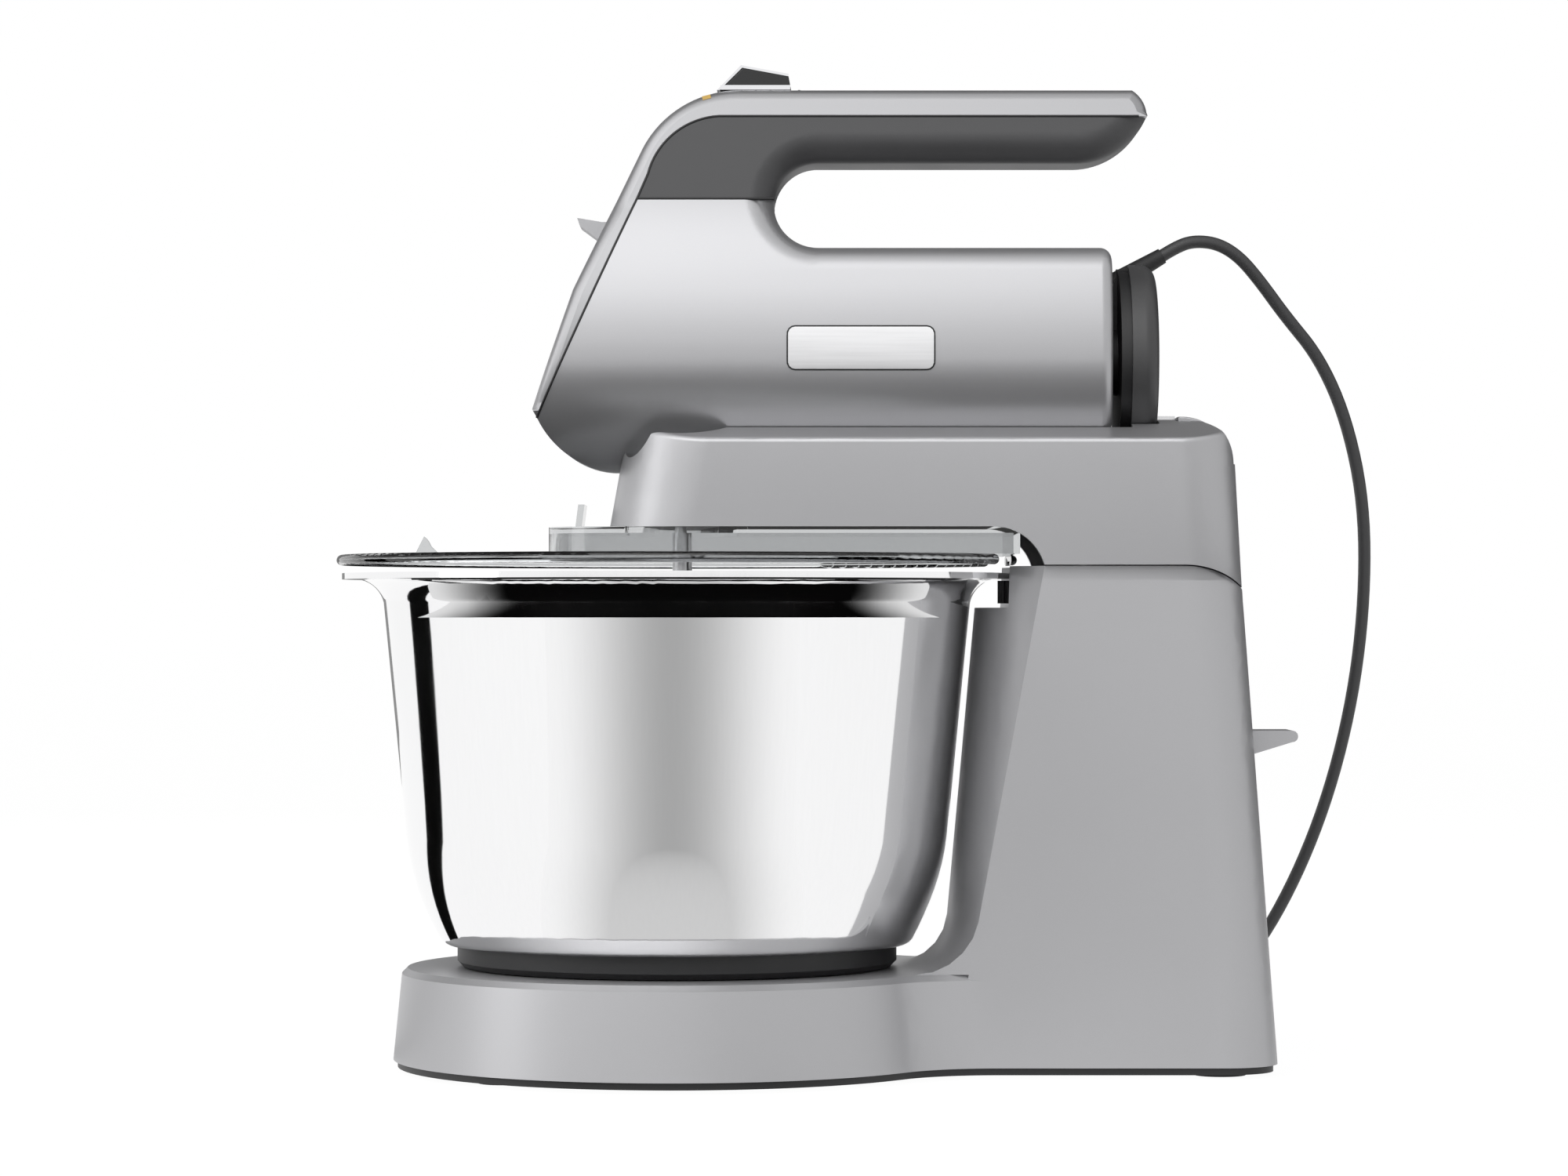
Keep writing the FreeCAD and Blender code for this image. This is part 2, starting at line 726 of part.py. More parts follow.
def shroud_plan(inset):
    half = shroud_half - inset
    front = shroud_front + inset
    end = shroud_end - inset
    corner = shroud_corner - inset
    return [
        (end, half),
        (front + corner, half),
        (front, half - corner, corner),
        (front, corner - half),
        (front + corner, -half, corner),
        (end, -half),
    ]


guard_low = guard_top - guard_rim
guard_edge = guard_rim / 2
disc = turned("guard_disc", [
    (0, guard_top),
    (0, guard_top - guard_wall),
    (guard_radius - guard_wall, guard_top - guard_wall),
    (guard_radius - guard_wall, guard_low),
    (guard_radius - guard_edge, guard_low),
    (guard_radius, guard_low + guard_edge, guard_edge),
    (guard_radius - guard_edge, guard_top, guard_edge),
])
place(disc, bowl_x)
shroud = pad("shroud_form", "XY_Plane", shroud_plan(0), arch_height - guard_top, offset=guard_top)
shroud_room = pad("shroud_room", "XY_Plane", shroud_plan(guard_wall),
                  arch_height - guard_wall - guard_low, offset=guard_low)
guard_tab = pad("guard_tab", "XZ_Plane", [
    (tab_front, arch_height - guard_wall),
    (tab_front + guard_wall, arch_height - guard_wall),
    (tab_front + guard_wall + tab_lean, tab_top),
    (tab_front + tab_lean, tab_top),
], tab_half * 2, symmetric=True)
guard_fin = pad("guard_fin", "XZ_Plane", [
    (fin_x, guard_top),
    (fin_x + fin_length, guard_top),
    (fin_x + fin_length - fin_height / 2, guard_top + fin_height / 2),
    (fin_x + fin_height / 2, guard_top + fin_height, fin_height),
], guard_wall, symmetric=True)
guard_opening = beater_opening("guard_opening", guard_low, arch_height)
guard = cut("guard_form", fuse("guard_joined", disc, shroud, guard_tab, guard_fin),
            shroud_room, head_cut, guard_opening)
node(guard, "splash_guard")

# Hand mixer: lower housing, dark grip and bright trim cut from one moulded form

housing_wall = size("housing_wall", 3.7)
body_half_top = size("grip_root_half_width", 25)
handle_half = size("handle_half_width", 17)
parting_z = size("grip_parting_height", 303.3)
gap_floor = size("finger_gap_floor", 286.3)
gap_radius = size("finger_gap_radius", 15.1)
gap_x = size("finger_gap_x", 0.5)
nose_x = size("nose_tip_x", -96.5)
nose_z = size("nose_tip_height", 227.2)
brow_x = size("brow_x", -62.2)
belly_x = size("belly_x", -70)
nose_bow = size("nose_bow", 31)
handle_end = size("handle_end_x", 115)
handle_curl = size("handle_curl_radius", 27)
handle_flat = size("handle_flat_end_x", 90)
strip_z = size("trim_parting_height", 332.5)
strip_x = size("trim_bend_x", -34)
strip_bend = size("trim_bend_radius", 27)
handle_top = size("handle_top_height", 342)
trim_bend = size("trim_outer_radius", 37.6)
shoulder_x = size("trim_shoulder_x", -61.3)
shoulder_z = size("trim_shoulder_height", 319.6)
trim_mid_x = size("trim_mid_x", -84)
trim_mid_z = size("trim_mid_height", 271.4)
trim_tip_x = size("trim_tip_x", -98.2)
trim_tip_z = size("trim_tip_height", 230.2)
gap_edge = size("finger_gap_edge_radius", 11)
trim_edge = size("trim_end_length", 5)
trim_round = size("trim_end_radius", 11)
grip_edge = size("grip_edge_radius", 8.8)
rear_edge = size("barrel_rear_edge_radius", 4)

barrel_low = barrel_z - barrel_radius
gap_top = gap_floor + gap_radius * 2
floor_rise = parting_z - gap_floor
roof_drop = gap_top - parting_z
floor_bow = (gap_radius * gap_radius + floor_rise * floor_rise) / (2 * floor_rise)
roof_bow = (gap_radius * gap_radius + roof_drop * roof_drop) / (2 * roof_drop)
strip_low_x = size("trim_bend_low_x", -58.5)
strip_low_z = size("trim_bend_low_height", 312)
side_lean = barrel_radius - body_half_top
side_rise = parting_z - barrel_z
body_bow = (side_lean * side_lean + side_rise * side_rise) / (2 * side_lean)
full_width = barrel_radius * 3
shoulder_drop = shoulder_z - handle_top + trim_bend
flat_start = shoulder_x + root(trim_bend * trim_bend - shoulder_drop * shoulder_drop)
front_view = pad("front_view", "YZ_Plane", [
    (0, barrel_low, barrel_radius),
    (barrel_radius, barrel_z, barrel_radius),
    (body_half_top, parting_z, body_bow),
    (handle_half, handle_top),
    (-handle_half, handle_top),
    (-body_half_top, parting_z),
    (-barrel_radius, barrel_z, body_bow),
], handle_end * 2 - trim_tip_x, offset=trim_tip_x * 2)
housing_side = pad("housing_side", "XZ_Plane", [
    (barrel_rear, barrel_low),
    (barrel_rear, gap_floor),
    (gap_x, gap_floor),
    (gap_x - gap_radius, parting_z, -floor_bow),
    (brow_x, parting_z),
    (nose_x, nose_z),
    (belly_x, barrel_low, nose_bow),
], full_width, symmetric=True)
grip_side = pad("grip_side", "XZ_Plane", [
    (gap_x - gap_radius, parting_z),
    (gap_x, gap_top, -roof_bow),
    (handle_flat, gap_top),
    (handle_end, strip_z, handle_curl),
    (strip_x, strip_z),
    (strip_low_x, strip_low_z, strip_bend),
    (brow_x, parting_z),
], full_width, symmetric=True)
trim_side = pad("trim_side", "XZ_Plane", [
    (nose_x, nose_z),
    (brow_x, parting_z),
    (strip_low_x, strip_low_z),
    (strip_x, strip_z, -strip_bend),
    (handle_end, strip_z),
    (handle_end - trim_edge, handle_top, trim_round),
    (flat_start, handle_top),
    (shoulder_x, shoulder_z, trim_bend),
    (trim_mid_x, trim_mid_z),
    (trim_tip_x, trim_tip_z),
], full_width, symmetric=True)

slack = 0.1
housing_plain = common("housing_plain", housing_side, front_view)
gap_start = float(gap_x - gap_radius) - slack
housing_soft = rounded("housing_soft", housing_plain, gap_edge, lambda edge, box: (
    box.XMin > gap_start and box.XLength > 1 and abs(box.Center.y) > float(handle_half)
    and box.ZMin > float(gap_floor) - slack and box.ZMax < float(parting_z) + slack))
housing_round = rounded("housing_round", housing_soft, rear_edge, lambda edge, box: (
    box.XMin > float(barrel_rear) - slack and box.XMax < float(barrel_rear) + slack))
grip_plain = common("grip_plain", grip_side, front_view)
grip_round = rounded("grip_round", grip_plain, grip_edge, lambda edge, box: (
    box.XMin > gap_start and box.XLength > 1 and abs(box.Center.y) > float(handle_half) / 2
    and box.ZMin > float(parting_z) - slack and box.Center.z < float(strip_z) - 1))
trim_plain = common("trim_plain", trim_side, front_view)

# Inside of the hand mixer

gear_radius = size("worm_wheel_radius", 11)
gear_height = size("worm_wheel_height", 8)
worm_length = size("worm_length", 26)
hub_radius = size("beater_hub_radius", 6)
hub_drop = size("beater_hub_drop", 8)
shaft_radius = size("rotor_shaft_radius", 3.5)
bearing_radius = size("bearing_radius", 9)
bearing_width = size("bearing_width", 6)
core_radius = size("rotor_core_radius", 18)
core_front = size("rotor_core_front_x", -8)
core_length = size("rotor_core_length", 48)
stator_gap = size("stator_air_gap", 0.8)
commutator_radius = size("commutator_radius", 11)
commutator_front = size("commutator_front_x", 47)
commutator_length = size("commutator_length", 14)
fan_front = size("fan_front_x", 68)
fan_radius = size("fan_radius", 30)
fan_depth = size("fan_depth", 9)
fan_disc = size("fan_disc_thickness", 1.5)
frame_thickness = size("motor_frame_thickness", 6)
brush_width = size("brush_width", 7)
cavity_front = beater_x - opening_radius
room_radius = barrel_radius - housing_wall
inner_radius = room_radius - running_gap
rear_frame_x = barrel_rear - housing_wall - frame_thickness - running_gap



# Round bar on the motor's axis, and a sleeve of that kind
def axle(name, radius, length, x):
    return rod(name, radius, length, x, 0, barrel_z, "X")


def sleeve(name, outer, inner, length, x):
    return cut(name, axle(name + "_outer", outer, length, x), axle(name + "_bore", inner, length, x))


room = axle("motor_room", room_radius, barrel_rear - housing_wall - cavity_front, cavity_front)
switch_half = size("switch_half_width", 9)
switch_front = size("switch_front_x", -46)
switch_length = size("switch_length", 22)
switch_room = block("switch_room", (switch_front - clear_gap, -switch_half - clear_gap, barrel_z),
                    (switch_front + switch_length + clear_gap, switch_half + clear_gap, parting_z))
hub_holes = []
for i, side in enumerate((-1, 1)):
    hub_holes.append(rod(f"hub_hole_{i}", hub_radius + clear_gap, barrel_radius,
                         beater_x, beater_spread * side, barrel_low))

# Front lever, hinged behind the trim

eject_tip_x = size("front_lever_tip_x", -83.6)
eject_tip_z = size("front_lever_tip_height", 297)
eject_pivot_x = size("front_lever_pivot_x", -68)
eject_pivot_z = size("front_lever_pivot_height", 293)
eject_half = size("front_lever_half_width", 9)
eject_deep = size("front_lever_depth", 7)
eject_pin = size("front_lever_pin_radius", 1.5)
eject_room = size("front_lever_room", 5)
eject_thin = size("front_lever_tip_depth", 2.8)
eject_low = eject_pivot_z - eject_deep / 2
eject_high = eject_pivot_z + eject_deep / 2
eject_back = eject_pivot_x + eject_deep / 2
eject_form = pad("eject_form", "XZ_Plane", [
    (eject_pivot_x - eject_deep, eject_low),
    (eject_back, eject_low),
    (eject_back, eject_high),
    (eject_pivot_x - eject_deep, eject_high),
    (eject_tip_x, eject_tip_z + eject_thin / 3),
    (eject_tip_x + eject_thin / 3, eject_tip_z - eject_thin * 2 / 3),
], eject_half * 2, symmetric=True)


# Round bar through the front lever's pivot
def eject_bar(name, radius, half):
    return rod(name, radius, half * 2, eject_pivot_x, -half, eject_pivot_z, "Y")


eject_bore = eject_bar("eject_bore", eject_pin + running_gap, eject_half)
node(cut("eject_drilled", eject_form, eject_bore), "front_lever")
eject_pin_half = eject_half + housing_wall
node(eject_bar("eject_pin_form", eject_pin, eject_pin_half), "front_lever_pin")
eject_pin_hole = eject_bar("eject_pin_hole", eject_pin, eject_pin_half)
eject_side = eject_half + clear_gap
eject_slot = block("eject_slot", (trim_tip_x, -eject_side, eject_low - eject_room),
                   (eject_back + eject_room / 2, eject_side, eject_high + eject_room / 2))

# Speed slider on the handle

slider_front = size("slider_front_x", -33.8)
slider_back = size("slider_back_x", -8.8)
slider_top_x = size("slider_top_x", -25.9)
slider_top = size("slider_top_height", 350.2)
slider_rear_top = size("slider_rear_top_height", 347.2)
slider_half = size("slider_half_width", 11)
slider_travel = size("slider_travel", 15)
stem_half = size("slider_stem_half_width", 2.5)
stem_length = size("slider_stem_length", 9)
stem_drop = size("slider_stem_drop", 14)
cap_thickness = size("slider_cap_thickness", 0.9)
slider_low = handle_top + clear_gap
slider_form = pad("slider_form", "XZ_Plane", [
    (slider_front, slider_low),
    (slider_back, slider_low),
    (slider_back - cap_thickness, slider_rear_top),
    (slider_top_x, slider_top),
], slider_half * 2, symmetric=True)
stem_x = (slider_front + slider_back) / 2 - stem_length / 2
stem_low = handle_top - stem_drop
stem = block("slider_stem", (stem_x, -stem_half, stem_low), (stem_x + stem_length, stem_half, slider_low))
node(fuse("slider_joined", slider_form, stem), "speed_slider")
cap_form = pad("cap_form", "XZ_Plane", [
    (slider_front - cap_thickness, slider_low),
    (slider_front, slider_low),
    (slider_top_x, slider_top),
    (slider_back - cap_thickness, slider_rear_top),
    (slider_back - cap_thickness, slider_rear_top + cap_thickness),
    (slider_top_x - cap_thickness / 2, slider_top + cap_thickness),
], slider_half * 2, symmetric=True)
node(cap_form, "slider_cap")
stem_side = stem_half + clear_gap
stem_slot = block("stem_slot", (stem_x - clear_gap, -stem_side, stem_low - clear_gap),
                  (stem_x + stem_length + slider_travel + clear_gap, stem_side, slider_low))

housing = cut("housing_form", housing_round, room, switch_room, eject_slot, eject_pin_hole, *hub_holes)
node(housing, "mixer_housing")
node(cut("grip_form", grip_round, stem_slot, eject_slot), "handle_grip")
node(cut("trim_form", trim_plain, stem_slot, eject_slot, eject_pin_hole), "top_trim")
node(block("switch_form", (switch_front, -switch_half, barrel_z + barrel_radius - housing_wall * 2),
           (switch_front + switch_length, switch_half, parting_z)), "speed_switch")

# Motor, worm drive and beaters

node(sleeve("stator_form", inner_radius, core_radius + stator_gap, core_length, core_front), "motor_stator")
node(sleeve("core_form", core_radius, shaft_radius, core_length, core_front), "rotor_core")
node(sleeve("commutator_form", commutator_radius, shaft_radius, commutator_length, commutator_front),
     "commutator")
worm_radius = beater_spread - gear_radius - clear_gap
front_frame_x = cavity_front + running_gap
shaft_end = rear_frame_x + frame_thickness
shaft = axle("shaft_form", shaft_radius, shaft_end - front_frame_x, front_frame_x)
worm = axle("worm_form", worm_radius, worm_length, beater_x - worm_length / 2)
node(fuse("worm_shaft", shaft, worm), "worm_shaft")
fan_blades = 9
blade_thickness = size("fan_blade_thickness", 1.4)
blades = []
for i in range(fan_blades):
    blade = block(f"fan_blade_{i}", (fan_front + fan_disc, commutator_radius, -blade_thickness / 2),
                  (fan_front + fan_depth, fan_radius - blade_thickness, blade_thickness / 2))
    turn = Rotation(Vector(1, 0, 0), 360 * i / fan_blades)
    reach = turn.multVec(Vector(0, float(commutator_radius), -float(blade_thickness) / 2))
    across = commutator_radius * math.cos(math.radians(360 * i / fan_blades))
    place(blade, fan_front + fan_disc, across, barrel_z + reach.z, turn)
    blades.append(blade)
fan = fuse("fan_joined", axle("fan_disc", fan_radius, fan_disc, fan_front),
           axle("fan_hub", commutator_radius + blade_thickness, fan_depth, fan_front), *blades)
node(cut("fan_form", fan, axle("fan_bore", shaft_radius, fan_depth, fan_front)), "cooling_fan")

for name, frame_x in (("front", front_frame_x), ("rear", rear_frame_x)):
    node(sleeve(f"{name}_frame_form", inner_radius, bearing_radius, frame_thickness, frame_x),
         f"{name}_motor_frame")
    node(sleeve(f"{name}_bearing_form", bearing_radius, shaft_radius + running_gap, bearing_width, frame_x),
         f"{name}_bearing")

brush_x = commutator_front + (commutator_length - brush_width) / 2
brush_reach = commutator_radius + clear_gap
brush_end = root(inner_radius * inner_radius - brush_width * brush_width)
brush_low = barrel_z - brush_width / 2
brush_high = barrel_z + brush_width / 2
brushes = [
    block("brush_left", (brush_x, -brush_end, brush_low), (brush_x + brush_width, -brush_reach, brush_high)),
    block("brush_right", (brush_x, brush_reach, brush_low), (brush_x + brush_width, brush_end, brush_high)),
]
node(fuse("brushes_form", *brushes), "brush_holders")

# Worm wheels with beater sockets

wheel_teeth = 24
tooth_depth = size("worm_wheel_tooth_depth", 1.6)
tooth_width = size("worm_wheel_tooth_width", 1.4)
beater_shaft = size("beater_shaft_radius", 3)
beater_low = size("beater_low_height", 52)
beater_high = size("beater_cage_height", 128)
beater_wire = size("beater_wire_radius", 1.1)
beater_bend = size("beater_bend_radius", 9)
wire_start = size("beater_wire_start", 2)
knob_radius = size("beater_knob_radius", 3.2)
knob_height = size("beater_knob_height", 3.6)
collar_radius = size("beater_collar_radius", 4.5)
socket_depth = size("beater_socket_depth", 20)
hub_low = barrel_low - hub_drop
wheel_low = barrel_z - gear_height / 2


# One wire of a beater: out from the collar, down the side and back to the foot knob
def cage_wire(turn):
    bend = beater_bend.value
    inset = bend * (1 - math.sqrt(0.5))
    near = wire_start.value
    far = beater_radius.value - beater_wire.value
    low = beater_low.value + knob_height.value / 2
    high = beater_high.value
    spots = [Vector(x, 0, z) for x, z in (
        (near, high), (far - bend, high), (far - inset, high - inset), (far, high - bend),
        (far, low + bend), (far - inset, low + inset), (far - bend, low), (near, low))]
    path = Part.Wire([
        Part.makeLine(spots[0], spots[1]), Part.Arc(*spots[1:4]).toShape(), Part.makeLine(spots[3], spots[4]),
        Part.Arc(*spots[4:7]).toShape(), Part.makeLine(spots[6], spots[7])])
    ring = Part.Wire(Part.makeCircle(beater_wire.value, spots[0], Vector(1, 0, 0)))
    return path.makePipeShell([ring], True, False).rotate(Vector(), Vector(0, 0, 1), turn)


def beater():
    collar_low = beater_high.value - knob_height.value / 2
    stem_top = (hub_low + socket_depth).value
    stem = Part.makeCylinder(beater_shaft.value, stem_top - collar_low, Vector(0, 0, collar_low))
    collar = Part.makeCylinder(collar_radius.value, knob_height.value, Vector(0, 0, collar_low))
    knob = Part.makeCylinder(knob_radius.value, knob_height.value, Vector(0, 0, beater_low.value))
    return stem.fuse([collar, knob] + [cage_wire(45 + 90 * i) for i in range(4)]).removeSplitter()


for name, side in (("left", -1), ("right", 1)):
    y = beater_spread * side
    wheel = rod(f"wheel_blank_{name}", gear_radius - tooth_depth, gear_height, beater_x, y, wheel_low)
    teeth = []
    for i in range(wheel_teeth):
        angle = 360 * (i + 0.5) / wheel_teeth
        tooth = block(f"tooth_{name}_{i}", (0, -tooth_width / 2, wheel_low),
                      (gear_radius, tooth_width / 2, wheel_low + gear_height))
        swing = Rotation(Vector(0, 0, 1), angle)
        place(tooth, beater_x + tooth_width / 2 * math.sin(math.radians(angle)),
              y - tooth_width / 2 * math.cos(math.radians(angle)), wheel_low, swing)
        teeth.append(tooth)
    limit = rod(f"wheel_limit_{name}", gear_radius, gear_height, beater_x, y, wheel_low)
    toothed = common(f"wheel_toothed_{name}", fuse(f"wheel_joined_{name}", wheel, *teeth), limit)
    hub = rod(f"wheel_hub_{name}", hub_radius, wheel_low - hub_low, beater_x, y, hub_low)
    wheel_height = wheel_low + gear_height - hub_low
    socket = rod(f"wheel_socket_{name}", beater_shaft, wheel_height, beater_x, y, hub_low)
    node(cut(f"wheel_{name}", fuse(f"wheel_full_{name}", toothed, hub), socket), f"worm_wheel_{name}")
    place(solid(f"beater_{name}", beater()), beater_x, y, 0)

# Cord spool behind the barrel

hub_half = size("spool_hub_radius", 12.4)
lip_radius = size("spool_lip_radius", 32)
lip_thickness = size("spool_lip_thickness", 3.7)
web_half = size("spool_web_half_width", 7)
web_rise = size("spool_web_rise", 15.2)
web_lean = size("spool_web_lean", 4.7)
flange_edge = size("flange_edge_radius", 5)
cord_radius = size("cord_radius", 2.25)
gland_radius = size("gland_radius", 3.8)
gland_tip = size("gland_tip_radius", 2.8)
gland_length = size("gland_length", 20)
gland_slope = Rotation(Vector(0, 1, 0), 60)
exit_x = size("cord_exit_x", 121.5)
exit_z = size("cord_exit_height", 285.3)
lip_x = flange_x - lip_thickness
drum = turned("hub_form", [
    (barrel_rear, 0),
    (flange_x, 0),
    (flange_x, lip_radius),
    (lip_x, lip_radius),
    (lip_x, hub_half),
    (barrel_rear, hub_half),
], axis="H_Axis")
place(drum, 0, 0, spool_z)
web_top = spool_z + lip_radius
web = pad("web_form", "XZ_Plane", [
    (barrel_rear, spool_z),
    (flange_x, spool_z),
    (flange_x, web_top),
    (barrel_rear + web_lean, web_top),
    (barrel_rear, spool_z + web_rise, lip_radius),
], web_half * 2, symmetric=True)
flange = turned("flange_form", [
    (flange_x, 0),
    (flange_end, 0),
    (flange_end, flange_radius - flange_edge),
    (flange_end - flange_edge, flange_radius, flange_edge),
    (flange_x, flange_radius),
], axis="H_Axis")
place(flange, 0, 0, spool_z)
slope = gland_slope.multVec(Vector(0, 0, 1))
gland_x = exit_x - gland_length * slope.x
gland_z = exit_z - gland_length * slope.z
gland_form = cone("gland_form", gland_radius, gland_tip, gland_length, gland_x, 0, gland_z, gland_slope)
gland_room = cone("gland_room", gland_radius, gland_tip, gland_length, gland_x, 0, gland_z, gland_slope)
node(cut("hub_cut", fuse("hub_joined", drum, web), gland_room), "spool_hub")
node(cut("flange_cut", flange, gland_room), "cord_spool")
node(gland_form, "cord_gland")

# Cord: from the gland over and down behind the column, then a tied coil on the table

cord_width = cord_radius.value * 2
exit_run = 9.4
route = [
    (exit_x.value, 0, exit_z.value),
    (exit_x.value + exit_run * slope.x, 0, exit_z.value + exit_run * slope.z),
    (138.8, 0.4, 291.6), (148, 1.5, 290), (156, 3.2, 285.4), (162.2, 6, 278.2), (170.6, 10, 267),
    (181, 17.5, 251), (190.5, 28.5, 229.5), (197.5, 43, 199.5), (199.5, 58, 165), (197, 73, 129),
    (190, 89, 93), (179, 105, 60), (165, 121, 32), (148, 137, 12.5), (132, 149, 4.2), (118, 159.5, 3.25),
]
run_share = 0.45
section = math.pi * cord_width ** 2 / 4


# Straight runs joined by tangent arcs, each as large as its two runs allow
def bent_path(points):
    spots = [Vector(*point) for point in points]
    edges = []
    radii = []
    last = spots[0]
    for before, here, after in zip(spots, spots[1:], spots[2:]):
        back = (before - here).normalize()
        onward = (after - here).normalize()
        reach = run_share * min((before - here).Length, (after - here).Length)
        half_turn = (math.pi - back.getAngle(onward)) / 2
        bend = reach / math.tan(half_turn)
        start = here + back * reach
        end = here + onward * reach
        middle = here + (back + onward).normalize() * (bend / math.cos(half_turn) - bend)
        edges += [Part.makeLine(last, start), Part.Arc(start, middle, end).toShape()]
        radii.append(bend)
        last = end
    edges.append(Part.makeLine(last, spots[-1]))
    return Part.Wire(edges), radii


def tube(path, start, heading):
    ring = Part.Wire(Part.makeCircle(cord_width / 2, start, heading))
    return path.makePipeShell([ring], True, False)


def report_tube(name, path, shape):
    share = shape.Volume / (section * path.Length)
    print(name, "length", round(path.Length, 1), "volume share", round(share, 4))


lead_path, lead_radii = bent_path(route)
lead = tube(lead_path, Vector(*route[0]), Vector(*route[1]) - Vector(*route[0]))
report_tube("cord lead", lead_path, lead)
print("cord lead radii", [round(bend, 1) for bend in lead_radii])
solid("cord_lead", lead)


# Two arcs that leave and arrive along the given directions
def biarc(start, leave, end, arrive):
    gap = end - start
    along_both = gap.dot(leave + arrive)
    flat = 2 * (1 - leave.dot(arrive))
    if flat < 1e-9:
        reach = gap.dot(gap) / (2 * along_both)
    else:
        reach = (math.sqrt(along_both ** 2 + flat * gap.dot(gap)) - along_both) / flat
    first = start + leave * reach
    second = end - arrive * reach
    meet = (first + second) * 0.5
    arcs = []
    for low, corner, high in ((start, first, meet), (meet, second, end)):
        middle = (low + high) * 0.5
        half = (high - low).Length / 2
        height = (corner - middle).Length
        bulge = height * half / (math.hypot(half, height) + half)
        arcs.append(Part.Arc(low, middle + (corner - middle).normalize() * bulge, high).toShape())
    return arcs


coil_outer = 31.5
turn_gap = 0.7
coil_step = cord_width + turn_gap
layer_turns = 2.5
climb_turns = 0.5
whole_turns = 5.125
coil_low = route[-1][2]
coil_end = Vector(*route[-1])
coil_heading = coil_end - Vector(*route[-2])
coil_angle = math.atan2(coil_heading.y, coil_heading.x) - math.pi / 2
coil_inner = coil_outer - layer_turns * coil_step
coil_reach = Vector(math.cos(coil_angle), math.sin(coil_angle), 0) * coil_outer
coil_centre = Vector(coil_end.x, coil_end.y, 0) - coil_reach


# Spirals in on the table, climbs half a turn and spirals out on top
def coil_point(turns):
    share = min(max((turns - layer_turns) / climb_turns, 0), 1)
    if share == 0:
        radius = coil_outer - coil_step * turns
    elif share < 1:
        radius = coil_inner - coil_step * climb_turns * share * (1 - share)
    else:
        radius = coil_inner + coil_step * (turns - layer_turns - climb_turns)
    height = coil_low + coil_step * share * share * (3 - 2 * share)
    angle = coil_angle + 2 * math.pi * turns
    return coil_centre + Vector(radius * math.cos(angle), radius * math.sin(angle), height)


def coil_way(turns):
    small = 1e-4
    return (coil_point(turns + small) - coil_point(turns - small)).normalize()


tail_length = 48
plug_height = size("plug_axis_height", 12)
marks = [quarter / 4 for quarter in range(int(whole_turns * 4) + 1)] + [whole_turns]
coil_edges = []
way = coil_heading.normalize()
for low, high in zip(marks, marks[1:]):
    coil_edges += biarc(coil_point(low), way, coil_point(high), coil_way(high))
    way = coil_way(high)
tail_way = Vector(way.x, way.y, 0).normalize()
tail_end = coil_point(whole_turns) + tail_way * tail_length
tail_end.z = plug_height.value
coil_edges += biarc(coil_point(whole_turns), way, tail_end, tail_way)
coil_path = Part.Wire(coil_edges)
coil = tube(coil_path, coil_end, coil_heading)
report_tube("cord coil", coil_path, coil)
spots = coil_path.discretize(Distance=3)
neighbours = 6
least = min((here - there).Length for i, here in enumerate(spots) for there in spots[i + neighbours:])
print("cord coil least gap to itself", round(least - cord_width, 2))
print("cord total", round(coil_path.Length + lead_path.Length, 1))
solid("cord_coil", coil)

# Tie round the coil, and the plug at the end of the tail

tie_turn = 0.25
tie_width = size("tie_width", 6)
tie_band = size("tie_band", 0.8)
tie_room = size("tie_room", 0.5)
tie_inner = coil_inner + coil_step * tie_turn - cord_radius - tie_room
tie_outer = coil_outer - coil_step * tie_turn + cord_radius + tie_room
tie_top = coil_low + coil_step + cord_radius + tie_room
tie_block = block("tie_block", (tie_inner - tie_band, -tie_width / 2, 0),
                  (tie_outer + tie_band, tie_width / 2, tie_top + tie_band))
tie_space = block("tie_space", (tie_inner, -tie_width / 2, tie_band), (tie_outer, tie_width / 2, tie_top))
tie = cut("tie_form", tie_block, tie_space)
place(tie, coil_centre.x, coil_centre.y, 0,
      Rotation(Vector(0, 0, 1), math.degrees(coil_angle) + 360 * tie_turn))
node(tie, "cord_tie")

plug_radius = size("plug_radius", 11.8)
plug_length = size("plug_length", 34)
plug_neck = size("plug_neck_radius", 4)
plug_taper = size("plug_taper", 16)
plug_edge = size("plug_edge", 2.5)
prong_radius = size("plug_pin_radius", 2)
prong_length = size("plug_pin_length", 18)
prong_spread = size("plug_pin_spread", 6.5)
plug = turned("plug_form", [
    (0, 0),
    (plug_neck, 0),
    (plug_neck, plug_edge),
    (plug_radius, plug_taper),
    (plug_radius, plug_length - plug_edge),
    (plug_radius - plug_edge, plug_length, plug_edge),
    (0, plug_length),
])
lie = Rotation(Vector(0, 0, 1), tail_way)
place(plug, tail_end.x, tail_end.y, plug_height, lie)
node(plug, "cord_plug")
across = lie.multVec(Vector(0, 1, 0))
face = tail_end + tail_way * plug_length.value
pins = []
for side in (-1, 1):
    pin = rod(f"pin_{side}", prong_radius, prong_length, 0, 0, 0)
    foot = face + across * (prong_spread.value * side)
    place(pin, foot.x, foot.y, plug_height, lie)
    pins.append(pin)
node(fuse("pins_form", *pins), "plug_pins")


# Check every object, then write one file for each node


